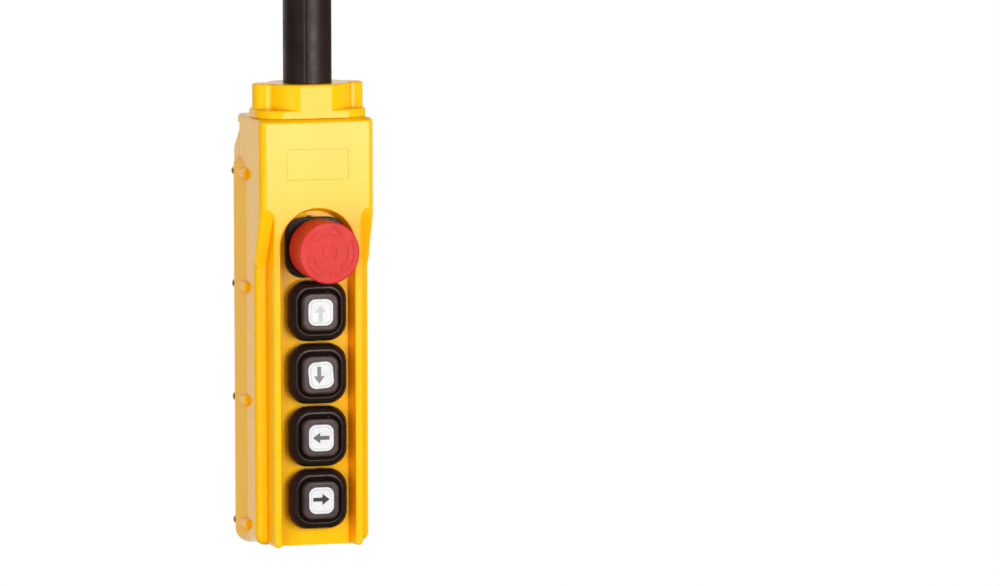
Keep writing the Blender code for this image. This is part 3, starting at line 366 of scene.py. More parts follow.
def channel(name, outer, inner, start, end, z=0.0):
    """A closed ring between two outlines, from one depth back to another."""
    levels = ((outer, start), (outer, end), (inner, end), (inner, start))
    return loft(name, [facing_front(outline, y, z) for outline, y in levels], ring=True)


def raised(name, levels, z, ring=False):
    """Skin outlines that each stand at a height over the recess's floor, about a middle at z."""
    return loft(name, [facing_front(outline, PANEL_Y - height, z) for outline, height in levels], ring)


def box(name, half_width, front, back, low, high, x=0.0):
    left = x - half_width
    right = x + half_width
    return prism(name, [(left, low), (right, low), (right, high), (left, high)], front, back)


def rods(name, axis, places):
    """One mesh of rods along Y or Z; each place is a start point, a length, a radius and its sides."""
    turn = Matrix.Rotation(radians(90), 4, "X") if axis == "Y" else Matrix.Identity(4)
    along = Vector((0, 1, 0)) if axis == "Y" else Vector((0, 0, 1))
    shape = bmesh.new()
    for start, length, radius, sides in places:
        middle = Vector(start) + along * (length / 2)
        bmesh.ops.create_cone(
            shape, cap_ends=True, segments=sides, radius1=radius, radius2=radius,
            depth=length, matrix=Matrix.Translation(middle) @ turn,
        )
    return mesh_object(name, shape)


def rods_at(name, places, start, length, radius, sides):
    """Like rods along Y, at places across and up."""
    return rods(name, "Y", [((x, start, z), length, radius, sides) for x, z in places])


def combine(target, steps):
    """Join or cut other closed forms, keep the result as plain mesh and drop those forms."""
    for operation, other in steps:
        modifier = target.modifiers.new(other.name, "BOOLEAN")
        modifier.operation = operation
        modifier.object = other
        modifier.solver = "MANIFOLD"
    bpy.context.view_layer.update()
    graph = bpy.context.evaluated_depsgraph_get()
    mesh = bpy.data.meshes.new_from_object(target.evaluated_get(graph))
    target.modifiers.clear()
    target.data = mesh
    for operation, other in steps:
        bpy.data.objects.remove(other, do_unlink=True)
    return target


def dress(thing, material, body, slot, *nodes, angle=SHARP_ANGLE):
    """Shade a finished piece, give it its material and set it on its body."""
    mesh = thing.data
    mesh.materials.clear()
    mesh.materials.append(material)
    mesh.polygons.foreach_set("material_index", [0] * len(mesh.polygons))
    mesh.shade_smooth()
    mesh.set_sharp_from_angle(angle=angle)
    normals = thing.modifiers.new("normals", "WEIGHTED_NORMAL")
    normals.keep_sharp = True
    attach(thing, body)
    if nodes:
        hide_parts(*nodes)
    return thing


def circle(radius, sides):
    angles = [tau * step / sides for step in range(sides)]
    return [(radius * cos(angle), radius * sin(angle)) for angle in angles]


def quarter_turn(start=0, steps=CORNER_STEPS):
    """Angles from start degrees on through a quarter turn."""
    return [radians(start + 90 * step / steps) for step in range(steps + 1)]


def corner(across, along, radius, start):
    """Points of a round corner about its middle, from start degrees on."""
    return [(across + radius * cos(angle), along + radius * sin(angle)) for angle in quarter_turn(start)]


def rounded_outline(half_width, low, high, low_radius, high_radius):
    """Points of a rectangle with round corners, from its lower right corner round to its left."""
    right = corner(half_width - low_radius, low + low_radius, low_radius, -90)
    right += corner(half_width - high_radius, high - high_radius, high_radius, 0)
    return mirrored(right)


def rounded_square(half_width, half_length, radius, grow=0.0):
    """A rectangle with four like corners about its middle, grown or drawn in all round."""
    half_length += grow
    return rounded_outline(half_width + grow, -half_length, half_length, radius + grow, radius + grow)


def disc(radius):
    return rounded_square(radius, radius, radius)


def mirrored(right):
    """A closed outline from its right half, which runs up from the foot."""
    return right + [(-across, along) for across, along in reversed(right)]


def shifted(outline, x, z):
    return [(across + x, along + z) for across, along in outline]


def turned(outline, angle):
    cosine, sine = cos(angle), sin(angle)
    return [(across * cosine - along * sine, across * sine + along * cosine) for across, along in outline]


def quarter_round(radius, steps=FILLET_STEPS):
    """Depth and inset along a rounded edge, from the face to the full outline."""
    return [(radius * (1 - cos(angle)), radius * (1 - sin(angle))) for angle in quarter_turn(0, steps)]


def round_to_face(radius):
    """Depth and inset along a rounded edge, from the full outline to the face."""
    return reversed(quarter_round(radius))


def edge_inset(depth):
    """Inset of the block's rounded front edge, which reaches further back than in."""
    share = max(1 - depth / EDGE_DEPTH, 0.0)
    return EDGE_RADIUS * (1 - sqrt(1 - share ** 2))


# Materials

PLAIN_TINT = (1.0, 1.0, 1.0)
# Painted shade in hollows: how far occlusion is sought, and the occlusion at which the shade starts and is
# full
HOLLOW_REACH = 0.012
HOLLOW_OPEN = 0.98
HOLLOW_CLOSED = 0.73
NOISE_LOW = 0.3
NOISE_HIGH = 0.7
CLOUD_DETAIL = 3.0
GRAIN_DETAIL = 2.0
WAVE_DETAIL = 1.0
GRAIN_ROUGHNESS = 0.6
INK_MOTTLE = 1.12


def set_sockets(tree, node, sockets):
    """Set a node's sockets to values, or link them to other nodes' outputs."""
    for name, value in sockets.items():
        if isinstance(value, bpy.types.NodeSocket):
            tree.links.new(value, node.inputs[name])
        else:
            node.inputs[name].default_value = value


def add_node(tree, kind, sockets):
    node = tree.nodes.new("ShaderNode" + kind)
    set_sockets(tree, node, sockets)
    return node


def noise(tree, place, scale, detail, roughness=0.5):
    sockets = {"Vector": place, "Scale": scale, "Detail": detail, "Roughness": roughness}
    return add_node(tree, "TexNoise", sockets).outputs["Fac"]


def clouded(tree, factor, dark, pale):
    """A colour that goes from dark to pale with a noise."""
    node = add_node(tree, "ValToRGB", {"Fac": factor})
    stops = ((NOISE_LOW, dark), (NOISE_HIGH, pale))
    for element, (position, colour) in zip(node.color_ramp.elements, stops):
        element.position = position
        element.color = (*colour, 1.0)
    return node.outputs["Color"]


def spread(tree, factor, low, high):
    """A value that goes from low to high with a noise."""
    sockets = {"Value": factor, "From Min": NOISE_LOW, "From Max": NOISE_HIGH, "To Min": low, "To Max": high}
    return add_node(tree, "MapRange", sockets).outputs["Result"]


def bump(tree, place, waves, detail, roughness=0.5, under=None):
    scale, strength, depth = waves
    height = noise(tree, place, scale, detail, roughness)
    sockets = {"Height": height, "Strength": strength, "Distance": depth}
    if under is not None:
        sockets["Normal"] = under
    return add_node(tree, "Bump", sockets).outputs["Normal"]


def painted_hollow_shade(tree, colour, painted_shade):
    """Paint shade into a colour on side walls that close in on a hollow, mixing towards the shade colour as
    occlusion grows.
    """
    closed = add_node(tree, "AmbientOcclusion", {"Distance": HOLLOW_REACH})
    normal = add_node(tree, "TexCoord", {}).outputs["Normal"]
    parts = add_node(tree, "SeparateXYZ", {"Vector": normal})
    sideways = add_node(tree, "Math", {0: parts.outputs["X"]})
    sideways.operation = "ABSOLUTE"
    share = add_node(tree, "MapRange", {
        "Value": closed.outputs["AO"], "From Min": HOLLOW_OPEN, "From Max": HOLLOW_CLOSED,
        "To Min": 0.0, "To Max": sideways.outputs["Value"],
    })
    sockets = {"Fac": share.outputs["Result"], "Color1": colour, "Color2": (*painted_shade, 1.0)}
    return add_node(tree, "MixRGB", sockets).outputs["Color"]


def moulded(
    name, dark, pale, rough, cloud, grain, wave=None, metallic=0.0, specular=0.5, tint=PLAIN_TINT, painted_shade=None,
):
    """A moulded or machined surface: clouded colour, uneven gloss, fine grain, slight waves and, if given,
    painted shade.

    Cloud is a scale per metre and how much finer the gloss varies. Grain and wave are each a scale
    per metre, a strength and a depth in metres.
    """
    material = bpy.data.materials.new(name)
    material.use_nodes = True
    tree = material.node_tree
    place = add_node(tree, "TexCoord", {}).outputs["Object"]
    colour = clouded(tree, noise(tree, place, cloud[0], CLOUD_DETAIL), dark, pale)
    # Painted shade: side walls in hollows are mixed towards a darker, more orange colour
    if painted_shade is not None:
        colour = painted_hollow_shade(tree, colour, painted_shade)
    gloss = spread(tree, noise(tree, place, cloud[0] * cloud[1], GRAIN_DETAIL), *rough)
    normal = bump(tree, place, grain, GRAIN_DETAIL, GRAIN_ROUGHNESS)
    if wave is not None:
        normal = bump(tree, place, wave, WAVE_DETAIL, under=normal)
    set_sockets(tree, tree.nodes["Principled BSDF"], {
        "Base Color": colour, "Roughness": gloss, "Normal": normal, "Metallic": metallic,
        "Specular IOR Level": specular, "Specular Tint": (*tint, 1.0),
    })
    return material


def yellow(name, specular=0.42, painted_shade=None):
    return moulded(
        name, (0.95, 0.485, 0.002), (0.97, 0.51, 0.003), (0.13, 0.18),
        (55.0, 2.0), (5200.0, 0.02, 0.00002), (42.0, 0.5, 0.00025), specular=specular, painted_shade=painted_shade,
    )


YELLOW = yellow("yellow_moulding")
# The shell's yellow, with painted shade on the side walls of its hollows
SHADE_PAINTED_YELLOW = yellow("yellow_shell_painted_shade", painted_shade=(0.95, 0.25, 0.001))
CAP_YELLOW = yellow("yellow_cap_moulding", specular=0.27)
RUBBER = moulded(
    "black_rubber_skin", (0.012, 0.0065, 0.005), (0.018, 0.010, 0.0085), (0.24, 0.32),
    (90.0, 3.0), (4200.0, 0.25, 0.00003), specular=0.4, tint=(1.0, 0.80, 0.76),
)
# The button faces' black rubber, made lighter than the boots' as painted sheen from the softbox on
# front-facing faces
SHEEN_PAINTED_RUBBER = moulded(
    "button_rubber_painted_sheen", (0.046, 0.032, 0.030), (0.060, 0.043, 0.040), (0.26, 0.34),
    (90.0, 3.0), (4200.0, 0.25, 0.00003), tint=(1.0, 0.84, 0.82),
)
SLEEVE_RUBBER = moulded(
    "sleeve_rubber_skin", (0.014, 0.0075, 0.0065), (0.020, 0.0115, 0.010), (0.40, 0.52),
    (60.0, 3.0), (3000.0, 0.3, 0.00004), specular=0.65, tint=(1.0, 0.84, 0.82),
)
RED = moulded(
    "red_satin_moulding", (0.57, 0.012, 0.007), (0.63, 0.017, 0.010), (0.44, 0.54),
    (80.0, 2.5), (4800.0, 0.18, 0.00002),
)
WHITE = moulded(
    "white_tile_moulding", (0.66, 0.66, 0.66), (0.70, 0.70, 0.70), (0.22, 0.32),
    (120.0, 2.0), (5000.0, 0.05, 0.00001),
)
BLACK = moulded(
    "black_plastic_moulding", (0.014, 0.008, 0.0065), (0.020, 0.0125, 0.0105), (0.36, 0.48),
    (80.0, 2.5), (4500.0, 0.15, 0.00002), tint=(1.0, 0.84, 0.80),
)
GREY = moulded(
    "grey_plastic_moulding", (0.26, 0.26, 0.27), (0.33, 0.33, 0.34), (0.38, 0.5),
    (80.0, 2.5), (4500.0, 0.12, 0.00002),
)
STEEL = moulded(
    "plated_steel", (0.50, 0.48, 0.45), (0.60, 0.58, 0.55), (0.24, 0.36),
    (400.0, 2.0), (9000.0, 0.12, 0.00001), metallic=1.0,
)
SEAL = moulded(
    "seal_rubber_skin", (0.020, 0.020, 0.020), (0.034, 0.034, 0.034), (0.55, 0.7),
    (120.0, 2.5), (4000.0, 0.2, 0.00003),
)


def arrow_ink(name, tone):
    pale = tuple(value * INK_MOTTLE for value in tone)
    return moulded(name, tone, pale, (0.35, 0.5), (700.0, 2.0), (6000.0, 0.05, 0.00001))


# Arrow tones grow paler towards the upper buttons as painted glare of the softbox on the glossy legends; the
# right arrow's dark tone is the ink's own
ARROW_INKS = {
    "up": arrow_ink("ink_painted_glare_strong", (0.47, 0.47, 0.47)),
    "down": arrow_ink("ink_painted_glare_medium", (0.18, 0.16, 0.17)),
    "left": arrow_ink("ink_painted_glare_slight", (0.10, 0.095, 0.10)),
    "right": arrow_ink("ink_own_dark", (0.026, 0.024, 0.026)),
}


# Front housing

def left_radius(radius, inset):
    """What is left of a corner's radius on an outline that is drawn in by inset."""
    return max(radius - inset, FLUSH_STEP)


def slope_side(low_half, high_half, split):
    """Points up a side that leaves its lower half width at split and eases out to the upper one."""
    points = []
    for angle in quarter_turn():
        across = low_half + (high_half - low_half) * sin(angle)
        points.append((across, split + SLOPE_EDGE_RISE * (1 - cos(angle))))
    return points


def flare_side(half, reach, share):
    """Points up a side whose flare runs out to a point; share is 1 at the parting plane, 0 at the crease."""
    high = HOUSING_TOP - FLARE_DROP
    points = []
    for step in range(CORNER_STEPS + 1):
        left = share ** (1 / FLARE_ROUND) * step / CORNER_STEPS
        points.append((half + reach * (share - left ** FLARE_ROUND), high - FLARE_RUN * (1 - left)))
    return points


def shell_section(y, low_half, low, low_radius, side, high_half, high, high_radius, folded=False):
    """Outline of the shell at a depth: a lower part and an upper part joined by a run of points.

    Folded, the lower part is drawn up flat to the foot of that run.
    """
    right = corner(low_half - low_radius, low + low_radius, low_radius, -90)
    if folded:
        right = [(across, side[0][1]) for across, along in right]
    right += side
    right += corner(high_half - high_radius, high - high_radius, high_radius, 0)
    return facing_front(mirrored(right), y)


def slope_foot(depth):
    """Height of the upper block's foot at a depth, with both bends of the slope rounded."""
    bend = SLOPE_BEND_RADIUS
    reach = bend * (1 - cos(SLOPE_ANGLE))
    if depth < reach:
        return FACE_LOW + SLOPE_EASE - sqrt(bend ** 2 - (bend - depth) ** 2)
    left = SHOULDER_STEP - depth
    if left < reach:
        return SLOPE_LOW - SLOPE_EASE + sqrt(bend ** 2 - (bend - left) ** 2)
    return FACE_LOW - SLOPE_LENGTH * depth / SHOULDER_STEP


def block_section(depth, folded=True):
    inset = edge_inset(depth)
    top_inset = inset * TOP_EDGE_RADIUS / EDGE_RADIUS
    low_half = HALF_WIDTH - EDGE_RADIUS
    high_half = HALF_WIDTH - inset
    return shell_section(
        FRONT_Y + depth, low_half, HOUSING_BOTTOM + EDGE_RADIUS, BOTTOM_CORNER_RADIUS - EDGE_RADIUS,
        slope_side(low_half, high_half, slope_foot(depth)), high_half, HOUSING_TOP - top_inset,
        left_radius(TOP_CORNER_RADIUS, top_inset), folded,
    )


def shoulder_section(depth):
    inset = edge_inset(depth)
    low_half = HALF_WIDTH - inset
    return shell_section(
        SHOULDER_Y + depth, low_half, HOUSING_BOTTOM + inset, BOTTOM_CORNER_RADIUS - inset,
        slope_side(low_half, HALF_WIDTH, SLOPE_LOW - SLOPE_EASE), HALF_WIDTH, HOUSING_TOP, TOP_CORNER_RADIUS,
    )


def flare_section(share, inset=0.0):
    """The shell between the crease and the parting plane, where its screw flange stands out."""
    reach = FLARE_REACH * share - inset
    half = HALF_WIDTH - inset
    return shell_section(
        CREASE_Y + FLARE_DEPTH * share, HALF_WIDTH + reach, HOUSING_BOTTOM - reach,
        BOTTOM_CORNER_RADIUS + reach, flare_side(half, FLARE_REACH, share), half,
        HOUSING_TOP - inset, TOP_CORNER_RADIUS - inset,
    )


def shell_body():
    edge_depths = [depth * EDGE_DEPTH for depth, inset in quarter_round(1.0, FILLET_STEPS + 2)]
    bend_depths = []
    for step in range(BEND_STEPS + 1):
        angle = SLOPE_ANGLE * (1 - step / BEND_STEPS)
        bend_depths.append(SHOULDER_STEP - SLOPE_BEND_RADIUS * (1 - cos(angle)))
    sections = [block_section(depth) for depth in edge_depths + bend_depths]
    sections.append(block_section(SHOULDER_STEP, folded=False))
    sections += [shoulder_section(depth) for depth in edge_depths[1:]]
    last_share = 1 - PARTING_EDGE / FLARE_DEPTH
    sections += [flare_section(last_share * step / FLARE_STEPS) for step in range(FLARE_STEPS + 1)]
    sections.append(flare_section(1.0, PARTING_EDGE))
    return loft("housing_shell", sections)


def rear_hood():
    """The ledge that the shell's top reaches back with, over the cover."""
    def section(inset, y):
        low = HOUSING_TOP - HOOD_HEIGHT + inset
        high = HOUSING_TOP - FLUSH_STEP - inset
        half = HALF_WIDTH - FLUSH_STEP - inset
        return facing_front(rounded_outline(half, low, high, HOOD_EDGE, TOP_CORNER_RADIUS), y)
    sections = [section(0.0, PARTING_Y - HOOD_REACH)]
    for depth, inset in round_to_face(HOOD_EDGE / 2):
        sections.append(section(inset, PARTING_Y + HOOD_REACH - depth))
    return loft("rear_hood", sections)


def guard_outline(inset):
    """Outline of the guards, whose sides run up into the face's lower edge in concave fillets."""
    half = RECESS_RADIUS + GUARD_WIDTH - inset
    face_half = HALF_WIDTH - EDGE_RADIUS
    low = HOUSING_BOTTOM + FLUSH_STEP + max(inset, 0.0)
    high = FACE_LOW + SLOPE_EASE
    end = GUARD_END_RADIUS - min(inset, 0.0)
    right = [(half - drawn, low + rise) for rise, drawn in quarter_round(end, CORNER_STEPS)]
    for angle in quarter_turn():
        across = face_half + (half - face_half) * cos(angle)
        right.append((across, high - (GUARD_FILLET + SLOPE_EASE) * (1 - sin(angle))))
    right.append((face_half, high + GUARD_FILLET))
    return mirrored(right)


def guard_walls():
    """The guards, with rounded front edges and outer sides that lean out towards their feet."""
    sections = [
        facing_front(guard_outline(inset), FRONT_Y + depth)
        for depth, inset in quarter_round(GUARD_EDGE_RADIUS)
    ]
    sections.append(facing_front(guard_outline(-GUARD_LEAN), SHOULDER_Y + FRONT_WALL / 2))
    return loft("guard_walls", sections)


def recess_outline(offset):
    """The arched recess, whose sides turn out at the lower end round the guards' inner corners."""
    radius = RECESS_RADIUS + offset
    end = GUARD_END_RADIUS
    foot = [(radius + end, HOUSING_BOTTOM - OVERCUT)]
    foot += [(radius + drawn, HOUSING_BOTTOM + rise) for rise, drawn in quarter_round(end, CORNER_STEPS)]
    points = [(-across, along) for across, along in reversed(foot)] + foot
    for step in range(ARCH_STEPS + 1):
        angle = pi * step / ARCH_STEPS
        points.append((radius * cos(angle), ARCH_Z + radius * sin(angle)))
    return points


def recess_cutter():
    sections = [facing_front(recess_outline(RECESS_RIM_RADIUS), FRONT_Y - CLEARANCE)]
    for depth, inset in quarter_round(RECESS_RIM_RADIUS)[1:]:
        sections.append(facing_front(recess_outline(inset), FRONT_Y + depth))
    floor_inset = RECESS_LEAN * (RECESS_DEPTH - RECESS_RIM_RADIUS)
    sections.append(facing_front(recess_outline(-floor_inset), PANEL_Y))
    return loft("recess", sections)


def screw_bosses():
    start = CREASE_Y - BOSS_LEAD
    places = [(copysign(HALF_WIDTH - BOSS_INSET, x), z) for x, z in SCREW_PLACES.values()]
    return rods_at("screw_bosses", places, start, PARTING_Y - PARTING_EDGE - start, BOSS_RADIUS, HOLE_SIDES)


def clamp_posts():
    start = FRONT_Y + FRONT_WALL - CLEARANCE
    return rods_at("clamp_posts", CLAMP_PLACES, start, POST_END_Y - start, CLAMP_POST_RADIUS, HOLE_SIDES)


def housing_cavities():
    low = HOUSING_BOTTOM + SIDE_WALL
    high = HOUSING_TOP - TOP_WALL
    lip_y = PARTING_Y - TOP_LIP_THICKNESS
    inner_y = SHOULDER_Y + FRONT_WALL
    join_y = inner_y + OVERCUT
    floor_half = RECESS_RADIUS - RECESS_LEAN * RECESS_DEPTH
    return [
        box("main_cavity", INNER_HALF, inner_y, lip_y, low, high),
        box("mouth_cavity", INNER_HALF, lip_y - OVERCUT, PARTING_Y + OVERCUT, low, HOUSING_TOP - TOP_LIP),
        box("panel_cavity", floor_half, PANEL_Y + FRONT_WALL, join_y, low, ARCH_TOP - FRONT_WALL),
        box("block_cavity", INNER_HALF, FRONT_Y + FRONT_WALL, join_y, ARCH_TOP + FRONT_WALL, high),
    ]


def label_recess():
    middle = HOUSING_TOP - LABEL_DROP - LABEL_HEIGHT / 2
    levels = ((LABEL_LEAN, FRONT_Y - OVERCUT), (LABEL_LEAN, FRONT_Y), (0.0, FRONT_Y + LABEL_DEPTH))
    return loft("label_recess", [
        facing_front(rounded_square(LABEL_WIDTH / 2, LABEL_HEIGHT / 2, LABEL_LEAN, grow), y, middle)
        for grow, y in levels
    ])


def panel_holes():
    radii = [COLLAR_BARREL_RADIUS] + [BUSH_RADIUS] * len(BUTTON_NAMES)
    return rods("panel_holes", "Y", [
        ((0.0, PANEL_Y - OVERCUT, z), FRONT_WALL + OVERCUT * 2, radius + CLEARANCE, HOLE_SIDES)
        for radius, z in zip(radii, STATIONS)
    ])


def pilot_holes():
    depth = SCREW_BITE + OVERCUT
    places = [(x, PARTING_Y, z) for x, z in SCREW_PLACES.values()]
    places += [(x, POST_END_Y, z) for x, z in CLAMP_PLACES]
    return rods("pilot_holes", "Y", [
        ((x, y - depth, z), depth + OVERCUT, PILOT_RADIUS, SCREW_SIDES) for x, y, z in places
    ])


def top_holes():
    start = HOUSING_TOP - TOP_WALL - OVERCUT
    length = TOP_WALL + OVERCUT * 2
    holes = [((0.0, 0.0, start), length, CABLE_HOLE_RADIUS, HOLE_SIDES)]
    for sign in (-1, 1):
        holes.append(((CAP_LUG_SPREAD * sign, 0.0, start), length, PILOT_RADIUS, SCREW_SIDES))
    return rods("top_holes", "Z", holes)


def make_housing():
    steps = [(JOIN, guard_walls()), (JOIN, screw_bosses()), (JOIN, rear_hood()), (CUT, recess_cutter())]
    steps += [(CUT, cavity) for cavity in housing_cavities()]
    steps += [(JOIN, clamp_posts()), (CUT, label_recess()), (CUT, panel_holes())]
    steps += [(CUT, pilot_holes()), (CUT, top_holes())]
    shell = combine(shell_body(), steps)
    dress(shell, SHADE_PAINTED_YELLOW, "housing", "yellow_plastic", "front_housing")


# Rear cover and its screws

def gasket_outline(inset):
    radius = BOTTOM_CORNER_RADIUS - inset
    return rounded_outline(HALF_WIDTH - inset, HOUSING_BOTTOM + inset, COVER_TOP - inset, radius, radius)


def gasket_groove():
    outer = gasket_outline(GASKET_INSET - CLEARANCE)
    inner = gasket_outline(GASKET_INSET + GASKET_WIDTH + CLEARANCE)
    end = SEAL_FRONT_Y + GASKET_THICKNESS + CLEARANCE
    return channel("gasket_groove", outer, inner, COVER_FRONT_Y - OVERCUT, end)


def flange_section(reach, y):
    high = HOUSING_TOP - FLARE_DROP + TOP_CORNER_RADIUS
    high_half = HALF_WIDTH - PARTING_EDGE - FLUSH_STEP
    return shell_section(
        y, HALF_WIDTH + reach, HOUSING_BOTTOM - reach, BOTTOM_CORNER_RADIUS + reach,
        flare_side(high_half, HALF_WIDTH + reach - high_half, 1.0), high_half, high, TOP_CORNER_RADIUS,
    )


def cover_flange():
    sections = [
        flange_section(FLARE_REACH - PARTING_EDGE, COVER_FRONT_Y + FLUSH_STEP),
        flange_section(FLARE_REACH, COVER_FRONT_Y + PARTING_EDGE),
    ]
    for depth, inset in round_to_face(COVER_FLANGE_EDGE):
        sections.append(flange_section(FLARE_REACH - inset, FLANGE_BACK_Y - depth))
    return loft("cover_flange", sections)


def cover_tray():
    levels = [(0.0, PARTING_EDGE), (PARTING_EDGE, 0.0)]
    levels += [(COVER_DEPTH - depth, inset) for depth, inset in round_to_face(COVER_EDGE_RADIUS)]
    sections = []
    for depth, inset in levels:
        top = COVER_TOP - COVER_SLOPE * depth / COVER_DEPTH - inset
        outline = rounded_outline(
            HALF_WIDTH - inset, HOUSING_BOTTOM + inset, top, BOTTOM_CORNER_RADIUS - inset,
            left_radius(TOP_CORNER_RADIUS, inset),
        )
        sections.append(facing_front(outline, COVER_FRONT_Y + depth))
    return loft("cover_tray", sections)


def cover_cavity():
    return box(
        "cover_cavity", HALF_WIDTH - COVER_SIDE_WALL, COVER_FRONT_Y - OVERCUT,
        COVER_BACK_Y - COVER_BACK_WALL, HOUSING_BOTTOM + COVER_SIDE_WALL,
        COVER_TOP - COVER_SLOPE - COVER_BACK_WALL,
    )


def make_cover():
    places = SCREW_PLACES.values()
    start = FLANGE_BACK_Y - FLUSH_STEP
    notches = rods_at("head_notches", places, start, COVER_DEPTH, SCREW_HEAD_RADIUS + HEAD_ROOM, HOLE_SIDES)
    start = COVER_FRONT_Y - OVERCUT
    holes = rods_at("cover_holes", places, start, COVER_FLANGE + OVERCUT * 2, PILOT_RADIUS, SCREW_SIDES)
    cover = combine(cover_tray(), [
        (JOIN, cover_flange()), (CUT, cover_cavity()), (CUT, gasket_groove()), (CUT, notches), (CUT, holes),
    ])
    dress(cover, YELLOW, "housing", "yellow_plastic", "rear_cover")


def make_screws():
    head_y = FLANGE_BACK_Y + CLEARANCE
    shank = head_y - PARTING_Y + SCREW_BITE - SCREW_RADIUS
    top = head_y + SCREW_HEAD_HEIGHT
    profile = [
        (SCREW_RADIUS / 2, head_y - shank - SCREW_RADIUS), (SCREW_RADIUS, head_y - shank),
        (SCREW_RADIUS, head_y), (SCREW_HEAD_RADIUS, head_y),
    ]
    profile += [(SCREW_HEAD_RADIUS - inset, top - depth) for depth, inset in round_to_face(SCREW_HEAD_EDGE)]
    for name, (x, z) in SCREW_PLACES.items():
        screw = loft("cover_screw_head_" + name, [
            facing_front(shifted(circle(radius, SCREW_SIDES), x, z), y) for radius, y in profile
        ])
        hexagon = shifted(circle(SCREW_SOCKET_RADIUS, SCREW_SOCKET_SIDES), x, z)
        combine(screw, [(CUT, prism("socket", hexagon, top - SCREW_SOCKET_DEPTH, top + OVERCUT))])
        dress(screw, STEEL, "housing", "steel", "cover_screw_" + name)


# Top cap and cable sleeve

def cap_barrel_outline(inset):
    """An oval with a flat at the front and at the back that meets its round sides softly."""
    half_width = CAP_BARREL_WIDTH / 2 - inset
    half_depth = CAP_BARREL_DEPTH / 2 - inset
    reach = CAP_FLAT_REACH - inset
    points = []
    for across, along in circle(1.0, ROUND_SIDES * 2):
        depth = along * half_depth
        limit = (1 + abs(depth / reach) ** CAP_FLAT_SHARPNESS) ** (1 / CAP_FLAT_SHARPNESS)
        points.append((across * half_width, depth / limit))
    return points


def top_edged(name, outline_at, low, high):
    sections = [facing_up(outline_at(0.0), low)]
    for depth, inset in round_to_face(CAP_EDGE_RADIUS):
        sections.append(facing_up(outline_at(inset), high - depth))
    return loft(name, sections)


def flange_outline(inset):
    return rounded_square(HALF_WIDTH - CAP_FLANGE_INSET, CAP_FLAT_REACH, CAP_CORNER_RADIUS, -inset)


def make_cap():
    inside = CAP_BOTTOM + CAP_FLANGE_HEIGHT / 2
    cap = top_edged("cap_body", flange_outline, HOUSING_TOP + CAP_SEAT_GAP, FLANGE_TOP)
    steps = [(JOIN, top_edged("cap_barrel", cap_barrel_outline, inside, CAP_TOP))]
    for sign in (-1, 1):
        def lug_outline(inset):
            middle = (CAP_LUG_SPREAD - CAP_LUG_INSET) * sign
            return shifted(circle(CAP_LUG_RADIUS - inset, HOLE_SIDES), middle, 0.0)
        steps.append((JOIN, top_edged("cap_lug", lug_outline, inside, CAP_TOP)))
    start = CAP_BOTTOM - OVERCUT
    pocket = flange_outline(CAP_GASKET_INSET - CLEARANCE)
    bore = ((0.0, 0.0, start), CAP_TOP - start + OVERCUT, SLEEVE_RADIUS + CLEARANCE, ROUND_SIDES)
    foot_room = CAP_POCKET_TOP + SLEEVE_FOOT_HEIGHT + CLEARANCE - start
    counterbore = ((0.0, 0.0, start), foot_room, SLEEVE_FOOT_RADIUS + CLEARANCE, ROUND_SIDES)
    lug_holes = [
        ((CAP_LUG_SPREAD * sign, 0.0, start), SCREW_BITE + OVERCUT * 2, PILOT_RADIUS, SCREW_SIDES)
        for sign in (-1, 1)
    ]
    steps += [
        (CUT, loft("gasket_pocket", [facing_up(pocket, start), facing_up(pocket, CAP_POCKET_TOP)])),
        (CUT, rods("cap_bore", "Z", [bore])),
        (CUT, rods("cap_counterbore", "Z", [counterbore])),
        (CUT, rods("lug_holes", "Z", lug_holes)),
    ]
    dress(combine(cap, steps), CAP_YELLOW, "housing", "yellow_plastic", "top_cap")


def make_sleeve():
    """The rubber sleeve, with the fine line that its mould leaves along both sides."""
    sides = ROUND_SIDES * 2
    def ring(radius, z, seam=0.0):
        points = []
        for step in range(sides):
            angle = SEAM_TURN + tau * step / sides
            reach = radius - (seam if step % (sides // 2) == 0 else 0.0)
            points.append((reach * cos(angle), reach * sin(angle), z))
        return points
    foot_low = CAP_POCKET_TOP
    foot_high = foot_low + SLEEVE_FOOT_HEIGHT
    edge = quarter_round(SLEEVE_MOUTH_EDGE)
    sections = [ring(SLEEVE_MOUTH_RADIUS - inset, -depth) for depth, inset in edge]
    sections += [
        ring(SLEEVE_RADIUS, -SLEEVE_TAPER, SEAM_DEPTH),
        ring(SLEEVE_RADIUS, CAP_TOP - CAP_EDGE_RADIUS, SEAM_DEPTH),
        ring(SLEEVE_RADIUS, foot_high), ring(SLEEVE_FOOT_RADIUS, foot_high),
        ring(SLEEVE_FOOT_RADIUS, foot_low), ring(SLEEVE_BORE_RADIUS, foot_low),
        ring(SLEEVE_BORE_RADIUS, 0.0),
    ]
    sleeve = loft("sleeve_body", sections, ring=True)
    dress(sleeve, SLEEVE_RUBBER, "housing", "black_rubber", "cable_sleeve", angle=SLEEVE_SHARP_ANGLE)


# Push buttons

def button_outline(grow):
    return rounded_square(BUTTON_WIDTH / 2, BUTTON_LENGTH / 2, BUTTON_CORNER_RADIUS, grow)


def legend_outline(grow):
    return rounded_square(LEGEND_WIDTH / 2, LEGEND_LENGTH / 2, LEGEND_CORNER_RADIUS, grow)


